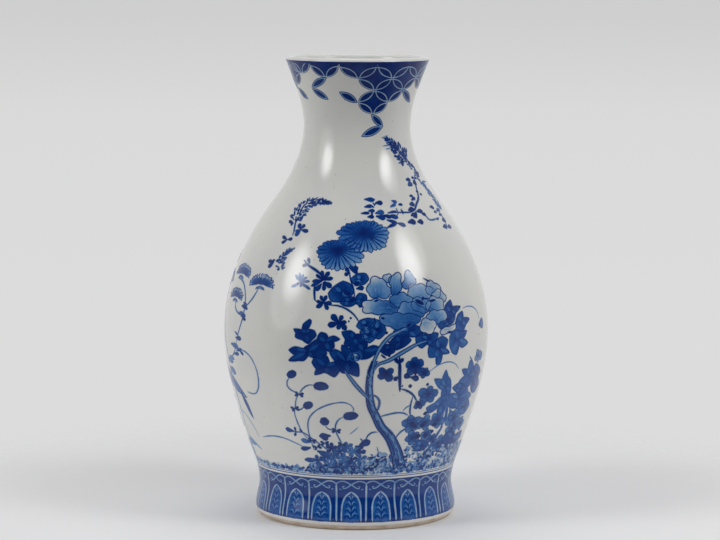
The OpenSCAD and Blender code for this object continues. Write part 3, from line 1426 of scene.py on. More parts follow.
@dataclass
class Peony:
    """Large open flower: each petal is a pale wash, darker at its foot, with a drawn edge."""

    petals: tuple[tuple[Place, tuple[Place, ...], float, float], ...] = (
        ((10, 155), ((5.2, 157), (5.6, 162), (7, 166), (9.6, 167.4), (12, 165.6), (14, 162.6), (16, 158),
            (14, 154.8), (9.6, 154.4)), 0.50, 0.03),
        ((14, 163), ((12.6, 164.6), (13.2, 168), (14.6, 169), (16, 167.6), (15.8, 164.8)), 0.25, 0.03),
        ((17, 156), ((15.4, 161), (15.6, 166), (18, 169), (20.4, 168.8), (21, 165), (20.2, 160),
            (18, 155.4), (16.2, 157)), 0.55, 0.07),
        ((24, 160), ((20.6, 162), (23.2, 165), (22.8, 168), (24.6, 170.4), (26.8, 168), (27.8, 164.4),
            (26.6, 161), (23, 160)), 0.45, 0.11),
        ((29, 155), ((23.6, 158.6), (26, 161.8), (30, 161.6), (34, 160.4), (36.6, 157.4), (33.6, 153.4),
            (28, 152.4), (24.4, 154.8)), 0.36, 0.05),
        ((36, 156), ((33, 160.4), (36, 163.4), (39.4, 161), (41, 157.4), (39.6, 153.6), (36, 153.6),
            (33.4, 156.6)), 0.38, 0.03),
        ((36, 151), ((37, 157), (40.6, 157), (43.2, 153.2), (41, 149), (37.6, 147.6), (35, 151.6)),
            0.34, 0.00),
        ((15, 150), ((14.4, 151.6), (16.4, 155.4), (20.4, 157), (24, 155), (25, 151.4), (22, 148.6),
            (17.4, 148)), 0.52, 0.25),
        ((15, 147), ((2.6, 148.6), (3.6, 152), (8, 153.4), (13, 152.4), (16.6, 149.6), (18.8, 146),
            (14.6, 144.2), (9, 144.6), (4, 145.4)), 0.56, 0.05),
        ((34, 146), ((33, 151.6), (37, 153.4), (41.2, 150), (40.6, 145.4), (36.4, 143), (32, 145.6)),
            0.44, 0.05),
        ((28, 146), ((24.6, 151.6), (28.6, 153.6), (33.4, 151), (33.6, 146.4), (29.6, 144),
            (25.8, 146.4)), 0.50, 0.21),
        ((27, 143), ((18.6, 148), (21.6, 151.4), (26, 150.4), (29.4, 147.6), (31.4, 144), (27.4, 141.4),
            (21, 142.8), (18.4, 145)), 0.52, 0.25),
        ((36, 139), ((32.4, 143.4), (37.6, 145), (42.2, 143), (41.8, 139.4), (37.4, 136.8), (32, 139)),
            0.46, 0.07),
        ((24, 138), ((9.6, 141), (12, 143.8), (18, 144.4), (24.6, 143.6), (28, 141.6), (27, 138),
            (23.4, 135.8), (17.6, 134.8), (13, 137)), 0.60, 0.29),
        ((31, 138), ((28.2, 137.6), (31, 140), (35, 138.2), (35.6, 133.6), (32, 130.4), (28.8, 132.6)),
            0.22, 0.00),
        ((40, 132), ((37.6, 131.2), (42, 133.8), (46.4, 134.6), (47.8, 136.2), (46.8, 132), (43, 130.2),
            (39.6, 129.4)), 0.12, 0.00),
    )
    lobe: float = 8.5
    wave: float = 1.5
    glints: tuple[tuple[Place, tuple[float, float], float], ...] = (
        ((28.6, 150.8), (7.0, 2.6), -28), ((30.4, 152.8), (3.4, 1.6), 60), ((35.4, 151.2), (5.4, 1.8), 8),
        ((31.2, 129.9), (7.0, 1.0), 4), ((22.6, 136.6), (3.4, 1.8), 20), ((34, 164.2), (6.0, 1.0), -30),
        ((8.8, 152.6), (3.0, 1.4), 20), ((11.4, 141.6), (2.6, 1.6), -20),
    )

    def _scalloped(self, film: Film, outline: Path) -> list[Place]:
        """Waves the edge of a petal into rounded lobes.

        Args:
            film: Where it goes.
            outline: Its plain outline.

        Returns:
            The waved outline.
        """
        edge = smooth_path(outline, 1.0, film.form, closed=True)
        middle = edge.mean(axis=0)
        lobes = max(3, round(len(edge) / self.lobe))
        wave = np.abs(np.sin(np.pi * lobes * np.arange(len(edge)) / len(edge)))
        across, up = (float(v) for v in film.form.scale(middle[1]))
        out = (edge - middle) * np.array([across, up])
        size = np.hypot(out[:, 0], out[:, 1])
        push = 1 + (self.wave * (wave - 0.5) / np.maximum(size, 2.0))[:, None]
        return [tuple(p) for p in (middle + (edge - middle) * push).tolist()]

    def paint(self, film: Film) -> None:
        """Paints the flower.

        Args:
            film: Where it goes.
        """
        for index, (foot, outline, dark, pale) in enumerate(self.petals):
            layer = 2 + 0.45 * index
            edge = self._scalloped(film, outline)
            film.shape(edge, (dark, pale), layer, 0.62, 0.88, foot=foot, step=1.0)
            across = sum(p[0] for p in outline) / len(outline)
            height = sum(p[1] for p in outline) / len(outline)
            for share in (-0.5, 0.0, 0.5):
                bend = share * (outline[0][0] - outline[len(outline) // 2][0]) * 0.45
                ray = [foot, ((foot[0] + across) / 2 + bend, (foot[1] + height) / 2), (across + bend, height)]
                if math.dist(ray[0], ray[2]) > 2:
                    film.stroke(ray, 0.9, (dark + 0.12, pale + 0.1), layer + 0.2, Nib.TAIL)
        for place, size, turn in self.glints:
            film.dab(place, size, turn, 0.97, 10)


@dataclass
class Blossom:
    """Small flower of rounded petals round a dark eye."""

    centre: Place
    reach: float = 4.5
    petals: int = 5
    turn: float = 0.0
    tone: tuple[float, float] = (0.85, 0.45)
    flat: float = 0.8

    def paint(self, film: Film, layer: float = 3) -> None:
        """Paints the flower.

        Args:
            film: Where it goes.
            layer: How many marks it lies over.
        """
        for index in range(self.petals):
            turn = math.radians(self.turn + 360 * index / self.petals + film.luck.uniform(-8, 8))
            reach = self.reach * film.luck.uniform(0.85, 1.1)
            lean = math.degrees(math.atan2(self.flat * math.sin(turn), math.cos(turn)))
            away = (0.55 * reach * math.cos(turn), 0.55 * reach * self.flat * math.sin(turn))
            middle = film.local(self.centre, [away])[0]
            outline = film.oval(middle, (reach * 0.5, reach * 0.4), lean, 0.08)
            film.shape(outline, self.tone, layer + 0.1 * index, 0.45, 0.92, foot=self.centre, step=1.3)
        film.dab(self.centre, (self.reach * 0.45, self.reach * 0.32), self.turn, 0.98, layer + 1)


@dataclass
class JaggedLeaf:
    """Broad lobed leaf in a dark wash with scratched veins, and pale strokes painted on it as highlights."""

    outline: tuple[Place, ...]
    tone: tuple[float, float] = (0.96, 0.74)
    vein: float = 0.98
    # How much paler than the leaf's tip its painted highlight strokes are, and how much darker their edges
    # run back into the leaf.
    wash: float = 0.1
    bulge: float = 0.04
    spur: float = 1.2
    heart: Place | None = None

    def paint(self, film: Film, layer: float = 4) -> None:
        """Paints the leaf.

        Args:
            film: Where it goes.
            layer: How many marks it lies over.
        """
        edge = leaf_path(self.outline, 0.7, film.form, self.bulge, self.spur)
        heart = self.heart or (float(edge[:, 0].mean()), float(edge[:, 1].mean()))
        film.fill(edge, heart, self.tone, layer)
        film.ring(edge, 0.6, self.tone[0] + 0.12, layer + 0.5)
        middle = self.heart or (
            sum(p[0] for p in self.outline) / len(self.outline),
            sum(p[1] for p in self.outline) / len(self.outline),
        )
        # Painted highlights: pale strokes from near the middle towards every fourth corner of the outline.
        for tip in self.outline[1::4]:
            start, end = (tuple(m + (t - m) * share for m, t in zip(middle, tip)) for share in (0.1, 0.86))
            if math.dist(start, end) > 1.5:
                # Tone of the painted highlight, paler than the leaf's tip.
                pale = self.tone[1] - self.wash
                tones = (pale + 0.06, pale)
                film.stroke([start, end], 2.8, tones, layer + 0.6, Nib.LEAF, self.wash, step=1.5)
        for tip in self.outline[::3]:
            end = tuple(m + (t - m) * 0.78 for m, t in zip(middle, tip))
            if math.dist(middle, end) > 2:
                film.stroke([middle, end], 0.6, self.vein, layer + 1, Nib.TAIL, step=2.0)


@dataclass
class Spike:
    """Drooping spike of small florets that fan out from its axis, thin at its tip."""

    axis: tuple[Place, ...]
    width: float = 9.0
    florets: int = 90
    tone: tuple[float, float] = (0.95, 0.6)
    floret: tuple[float, float] = (2.3, 0.95)
    foot: float = 0.55

    def paint(self, film: Film, layer: float = 2) -> None:
        """Paints the spike.

        Args:
            film: Where it goes.
            layer: How many marks it lies over.
        """
        luck = film.luck
        line = smooth_path(self.axis, 0.8, film.form)
        across, up = film.form.scale(line[:, 1])
        way = np.gradient(line, axis=0) * np.stack([across, up], axis=-1)
        lean = np.degrees(np.arctan2(way[:, 1], way[:, 0]))
        for _ in range(self.florets):
            share = luck.random() ** 1.25
            at = min(int(share * len(line)), len(line) - 1)
            spread = self.width * (1 - share) ** 0.9 * min(1.0, self.foot + 3 * share) + 0.5
            side = luck.uniform(-1, 1)
            spot = (float(line[at, 0]), float(line[at, 1]))
            place = film.local(spot, [(luck.uniform(-1, 1), side * spread / 2)], float(lean[at]))[0]
            tone = self.tone[0] + (self.tone[1] - self.tone[0]) * luck.random() * abs(side)
            size = tuple(v * luck.uniform(0.75, 1.2) for v in self.floret)
            turn = float(lean[at]) + (70 - 35 * share) * side + luck.uniform(-22, 22)
            film.dab(place, size, turn, tone, layer + luck.random() * 3)


@dataclass
class ThistleHead:
    """Fan of fine strokes on a stem, with a fringe of dots."""

    centre: Place
    reach: tuple[float, float] = (13.0, 6.5)
    rays: int = 34
    tone: tuple[float, float] = (0.84, 0.45)

    def paint(self, film: Film, layer: float = 2) -> None:
        """Paints the head.

        Args:
            film: Where it goes.
            layer: How many marks it lies over.
        """
        luck = film.luck
        film.dab(film.local(self.centre, [(0.0, 0.8)])[0], (self.reach[0] * 1.4, 2.6), 0, 0.7, layer)
        for row, share in ((0, 0.95), (1, 0.7)):
            for index in range(self.rays):
                turn = math.radians(196 - 212 * (index + luck.uniform(-0.3, 0.3)) / (self.rays - 1))
                size = share * luck.uniform(0.88, 1.06)
                tip = (self.reach[0] * size * math.cos(turn), self.reach[1] * size * math.sin(turn))
                ray = [(tip[0] * 0.35, tip[1] * 0.2), (tip[0] * 0.7, tip[1] * 0.62), tip]
                ends = film.local(self.centre, ray)
                tones = (self.tone[0], self.tone[1] + 0.25 * row)
                film.stroke(ends, 0.65, tones, layer + row + 0.5, Nib.DAB)
                if row == 0:
                    film.dab(ends[2], (1.2, 1.0), 0, self.tone[0] - 0.1, layer + 2)
        for index in range(7):
            base = film.local(self.centre, [((index - 3) * 1.2, -2.2 - 0.25 * abs(index - 3))])[0]
            film.dab(base, (2.6, 0.9), 90 + (index - 3) * 12, 0.6, layer + 1)


@dataclass
class Bud:
    """Closed oval flower head at the end of a stem."""

    centre: Place
    half: tuple[float, float] = (4.2, 2.2)
    turn: float = 20.0
    tone: float = 0.93

    def paint(self, film: Film, layer: float = 3) -> None:
        """Paints the bud.

        Args:
            film: Where it goes.
            layer: How many marks it lies over.
        """
        outline = film.oval(self.centre, self.half, self.turn, 0.06)
        film.shape(outline, (self.tone, self.tone - 0.1), layer, 0.5)


@dataclass
class Composition:
    """Group of painted things that go on one piece, all placed on the same panel."""

    name: str
    seed: int
    form: VaseForm
    parts: tuple[object, ...] = ()
    stems: tuple[tuple[Path, float, float], ...] = ()
    leaves: tuple[tuple[Place, Place, float, float], ...] = ()
    dabs: tuple[tuple[Place, tuple[float, float], float, float], ...] = ()
    panel: Panel = field(default_factory=Panel)

    def build(self, finish: bpy.types.Material) -> bpy.types.Object:
        """Paints the group.

        Args:
            finish: The cobalt.

        Returns:
            The piece.
        """
        film = Film(self.name, self.form, self.seed, self.panel)
        for path, width, tone in self.stems:
            film.stroke(path, width, tone, 1)
        for part in self.parts:
            part.paint(film)
        for base, tip, width, tone in self.leaves:
            small = math.dist(base, tip) < 10
            nib, size = (Nib.PETAL, width * 1.15) if small else (Nib.LEAF, width)
            film.lens(base, tip, size, (tone, tone - 0.14), 3, bend=0.08 * width, nib=nib)
        for place, size, turn, tone in self.dabs:
            film.dab(place, size, turn, tone, 5)
        return film.build(finish)


# The sprays


@dataclass
class Trunk:
    """Old branch that rises from the ground, twists once and forks under the peony."""

    form: VaseForm
    name: str = "peony_branch"
    panel: Panel = field(default_factory=Panel)
    path: tuple[Place, ...] = (
        (26, 38), (24, 44), (22.3, 50), (20, 56), (17.6, 61.5), (14.6, 66.5), (12.2, 70), (10.2, 75),
        (8.6, 79.5), (7.0, 84), (6.2, 90), (5.8, 97), (6.0, 104), (6.8, 110), (8.0, 114.5),
    )
    girth: tuple[float, float] = (9.4, 3.4)
    limbs: tuple[tuple[Path, float, float], ...] = (
        (((7.5, 108), (9.5, 112.2), (14, 114.6), (20, 119.6), (26, 124), (31, 126)), 2.7, 0.62),
        (((7.0, 109), (8.0, 116), (10.4, 123.4), (14, 129.6), (18.4, 133), (24, 136)), 2.7, 0.62),
        (((6.0, 89), (3.4, 93), (0.4, 98), (-2.6, 104), (-4.6, 108)), 2.6, 0.66),
        (((5.6, 92), (8.6, 91.4), (10.6, 87.4), (10.0, 82), (8.6, 78)), 1.5, 0.8),
    )

    def build(self, finish: bpy.types.Material) -> bpy.types.Object:
        """Paints the branch.

        Args:
            finish: The cobalt.

        Returns:
            The piece.
        """
        film = Film(self.name, self.form, 21, self.panel)
        line = smooth_path(self.path, 2.0, self.form)
        share = np.linspace(0, 1, len(line))
        widths = self.girth[1] + (self.girth[0] - self.girth[1]) * (1 - share) ** 1.25
        film._ribbon(line, widths, (0.66, 0.46), 2)
        across, _ = self.form.scale(line[:, 1])
        grain = ((-0.47, 1.0, 0.98), (0.47, 0.9, 0.92), (0.16, 1.3, 0.32), (-0.2, 0.9, 0.95))
        for offset, width, tone in grain:
            side = line + np.stack([offset * widths / across, np.zeros(len(line))], axis=-1)
            film._ribbon(side, np.full(len(line), width), tone, 3)
        for index in range(46):
            at = film.luck.randrange(2, len(line) - 1)
            drift = film.luck.uniform(-0.4, 0.4) * widths[at] / across[at]
            spot = (float(line[at, 0] + drift), float(line[at, 1]))
            film.dab(spot, (film.luck.uniform(2, 5), 0.6), 118, film.luck.choice((0.95, 0.9, 0.35)), 3.6)
        for path, width, tone in self.limbs:
            film.stroke(path, width, 0.98, 4, Nib.TAPER)
            film.stroke(path, width * 0.5, tone - 0.3, 5, Nib.TAPER)
        return film.build(finish)


@dataclass
class GroundMoss:
    """Stippled moss along the foot line, with taller tufts of foliage."""

    form: VaseForm
    count: int = 4600
    low: float = 38.2
    bare: tuple[float, float] = (-75.0, -26.0)
    wash: tuple[Place, ...] = (
        (-24, 41), (30, 41.6), (75, 42.4), (130, 41.4), (190, 41.2), (240, 41.4), (283, 41)
    )

    def _height(self, angle: float) -> float:
        """Works out how high the moss grows.

        Args:
            angle: Degrees round the vase.

        Returns:
            Its height in millimetres.
        """
        if self.bare[0] < angle < self.bare[1]:
            return 1.2 + 1.6 * max(0.0, (angle + 50) / 24)
        wave = 3.0 * math.sin(math.radians(angle * 3.1)) + 2.0 * math.sin(math.radians(angle * 7.3 + 40))
        return (17.0 if 26 < angle < 80 else 9.5) + wave

    def build(self, finish: bpy.types.Material) -> bpy.types.Object:
        """Paints the moss.

        Args:
            finish: The cobalt.

        Returns:
            The piece.
        """
        film = Film("ground_moss", self.form, 31)
        film.bleed = 0.0
        luck = film.luck
        film.stroke(self.wash, 6.5, 0.16, 0, Nib.EVEN, step=4.0)
        for index in range(self.count):
            angle = luck.uniform(-180, 180)
            height = self._height(angle)
            rise = luck.random() ** 1.4 * height
            wash = index % 4 == 0
            dark = luck.choice((0.06, 0.12, 0.24)) if wash else luck.choice((0.2, 0.4, 0.55, 0.75, 0.95))
            size = luck.uniform(3.5, 6.0) if wash else luck.uniform(1.4, 3.2)
            if self.bare[0] < angle < self.bare[1] and index % 3:
                continue
            layer = luck.random() if wash else 1 + luck.random() * 3
            turn = luck.uniform(-70, 110)
            film.dab((angle, self.low + rise), (size, size * 0.6), turn, dark, layer)
        return film.build(finish)


def front_leaves(form: VaseForm, panel: Panel, name: str = "branch_leaves") -> Composition:
    """Lists the dark lobed leaves, buds and blossoms on the left of the branch.

    Args:
        form: The vase.
        panel: Where they go.
        name: Name of the piece.

    Returns:
        The group.
    """
    leaf = JaggedLeaf
    return Composition(
        name,
        41,
        form,
        (
            leaf(((-26.3, 133.4), (-23.6, 133.6), (-22.6, 136.4), (-20, 139.2), (-19.4, 138),
                (-20.2, 134.6), (-18.2, 133.2), (-17.4, 130.4), (-18.6, 127.8), (-20.3, 125.6),
                (-23, 127.2), (-25.6, 129), (-25.9, 131.2)), heart=(-21.3, 131)),
            leaf(((-16, 127), (-15.6, 129.6), (-14.4, 131.6), (-12.4, 131), (-11.3, 129.8), (-9.5, 130),
                (-7.4, 128.2), (-8.8, 126.6), (-9.4, 123.4), (-11.2, 121.2), (-13.5, 122.4),
                (-15.4, 124.6)), heart=(-12.5, 126.5)),
            leaf(((-28.4, 119.8), (-26, 122), (-22.8, 121.8), (-19.5, 124.4), (-17, 127), (-14.8, 125.4),
                (-13.4, 122.5), (-12.8, 118.8), (-14.5, 116.6), (-18, 116), (-20, 116.4), (-22, 114.2),
                (-24.6, 113.6), (-29, 113.2), (-26.8, 116.6)), heart=(-20.5, 119.4)),
            leaf(((-18, 112.5), (-17, 115.8), (-14, 117.6), (-12, 116.4), (-10.6, 113.4), (-8.2, 113.6),
                (-6.4, 110.6), (-7.6, 107), (-9.4, 104.6), (-12, 106), (-13.6, 106.4), (-17, 105.4),
                (-17, 108.4)), heart=(-12.5, 110.5)),
            leaf(((-10.2, 119), (-8.4, 121.2), (-6, 120.6), (-5.6, 123.6), (-3, 122.2), (-1.4, 119),
                (-0.6, 114.6), (0.6, 112.4), (0.8, 105.2), (-3, 106.6), (-5.8, 107.6), (-7.2, 110.6),
                (-8.8, 114.6)), heart=(-4, 114)),
            leaf(((-5.2, 132.4), (-2, 133.2), (0, 131.8), (2.4, 131), (2.8, 127.6), (0.8, 125.2),
                (-1, 124.6), (-4.2, 125), (-4.4, 128.4)), heart=(-1, 129)),
            leaf(((-2, 124.8), (1, 126.2), (4.4, 125.8), (5.2, 123.4), (7, 124.2), (10.2, 122.4),
                (7.6, 119), (4.6, 116.6), (1, 116.6), (0, 119), (-1.8, 121.6)), heart=(3, 121)),
            leaf(((-1.8, 118.6), (0.2, 119.4), (1.8, 117.6), (0.8, 115.6), (-1.2, 115.4), (-2.2, 117)),
                (0.45, 0.25)),
            leaf(((-11.6, 157), (-9.6, 161), (-6, 163.8), (-3, 162.4), (-1.6, 158.6), (-3.4, 154.6),
                (-7, 152.4), (-10.4, 153)), (0.95, 0.6), heart=(-6.4, 158)),
            leaf(((-6.4, 152), (-4.4, 154.4), (-1.4, 154.4), (0, 152), (-2.4, 149.8), (-5, 150)),
                (0.9, 0.6)),
            leaf(((-1.6, 166), (0.6, 168.6), (3.8, 168.8), (5, 166.2), (3.4, 163.6), (0.2, 162.8)),
                (0.95, 0.5), heart=(1.8, 166)),
            leaf(((0.2, 154), (1.6, 156.4), (3.8, 155.6), (4, 152.8), (2, 150.6), (0.4, 151.6)),
                (0.95, 0.7)),
            leaf(((1, 137), (2.2, 140), (5, 141.2), (7.6, 140.2), (6.8, 136.6), (3.8, 134.4)), (0.9, 0.5)),
            leaf(((6.4, 136), (8.6, 139.8), (11.4, 137.6), (12, 133), (9.6, 129.6), (6.8, 131.4)),
                (0.95, 0.55)),
            leaf(((2.4, 133), (4.2, 135.6), (7.4, 134.4), (7.8, 130), (5.6, 127.2), (3, 129)), (0.9, 0.5)),
            leaf(((14.8, 126), (17, 129.6), (20.6, 130), (23, 127), (20.4, 123.6), (16.6, 122)),
                (0.98, 0.8)),
            leaf(((10.6, 121.4), (12.8, 124.2), (15.4, 123.6), (15.6, 120.4), (13, 118.8)), (0.98, 0.75)),
        ),
        (
            ((( -19, 164), (-18.8, 158), (-18.2, 152.6), (-17.4, 151.4)), 1.3, 0.95),
            (((-12.4, 149.6), (-8.5, 149.6), (-5, 148.2), (-1.6, 145), (0.4, 141.6), (1.6, 138.6)),
                1.0, 0.9),
            (((-26.5, 177), (-24, 174), (-20, 171.4), (-16.6, 168.4), (-14, 164)), 1.5, 0.9),
            (((-3.4, 172), (-2.6, 166), (-1.2, 160), (-0.6, 154)), 1.0, 0.9),
        ),
        tuple(
            (base, tip, width, 0.95)
            for base, tip, width in (
                ((-15, 165), (-20.5, 164), 2.4), ((-15, 165), (-19, 168.4), 1.8),
                ((-15, 165), (-16.4, 171), 2.4), ((-15, 165), (-12.6, 170.4), 2.6),
                ((-15, 165), (-10.6, 166.4), 2.4), ((-15, 164), (-11, 160.6), 3.0),
                ((-15, 164), (-14.4, 158.4), 2.4), ((-15.6, 163), (-18.6, 158.4), 3.0),
                ((-15, 165), (-20.8, 161), 2.0), ((-14, 151), (-15.8, 155.6), 2.0),
                ((-14, 151), (-13, 155.8), 2.2), ((-14, 151), (-17.4, 148), 2.6),
                ((-14, 151), (-12, 146.6), 2.4), ((-14, 151), (-10.4, 150.6), 2.6),
                ((-14, 151), (-17.6, 152), 2.0), ((-7, 139), (-10.4, 144), 3.6),
                ((-7, 139), (-5.6, 143.6), 2.6), ((-7, 139), (-12, 137), 3.4),
                ((-7, 139), (-7.6, 134.4), 2.8), ((-7, 139), (-4, 134.2), 3.0),
                ((-7, 139), (-3.8, 139), 2.4), ((-3, 170), (-5, 173), 2.4), ((-3, 170), (-5.6, 168.6), 2.4),
                ((-2, 171), (1, 173.4), 2.8), ((-2, 171), (0.8, 170), 2.6), ((-2, 171), (-2.4, 174.6), 2.6),
                ((0, 160), (3.6, 160.6), 2.8), ((-23, 175), (-26.8, 173), 1.8),
                ((-23, 175), (-24.4, 178.4), 1.8), ((0.6, 151), (2.6, 148.6), 2.4),
            )
        )
        + tuple(
            ((-26, 163), (-26 + x, 163 + z), 1.6, t)
            for x, z, t in (
                (-3.4, 4.6, 0.5), (-1.4, 6, 0.6), (0.8, 5.2, 0.5), (2.8, 3.6, 0.6), (4.4, 1.0, 0.7),
                (3.0, -2.8, 0.8), (0.4, -3, 0.85), (-2, -1.4, 0.9), (-4.6, -3.4, 0.55), (5.2, -4.2, 0.75),
            )
        ),
        (
            ((-2.2, 141.8), (1.6, 1.4), 0, 0.95), ((-3, 139.8), (1.2, 1.2), 0, 0.9),
            ((7.8, 141.2), (1.6, 1.6), 0, 0.95), ((0.4, 163.6), (4.0, 2.4), 10, 0.98),
            ((-4, 157.4), (5.0, 3.0), -20, 0.98), ((-1.6, 153), (4, 2.4), 30, 0.98),
            ((12.8, 132.4), (2.2, 2.0), 0, 0.98), ((13.8, 126.4), (1.5, 1.4), 0, 0.95),
            ((14, 120.2), (2.0, 2.2), 0, 0.98), ((14, 117.8), (2.0, 2.0), 0, 0.98),
            ((11.6, 117.2), (4.4, 1.2), -38, 0.98), ((4.2, 137.4), (2.8, 2.0), 0, 0.98),
            ((9.0, 134.6), (3.0, 2.2), 60, 0.98), ((5.0, 131.4), (2.4, 2.0), 0, 0.98),
        ),
        panel,
    )


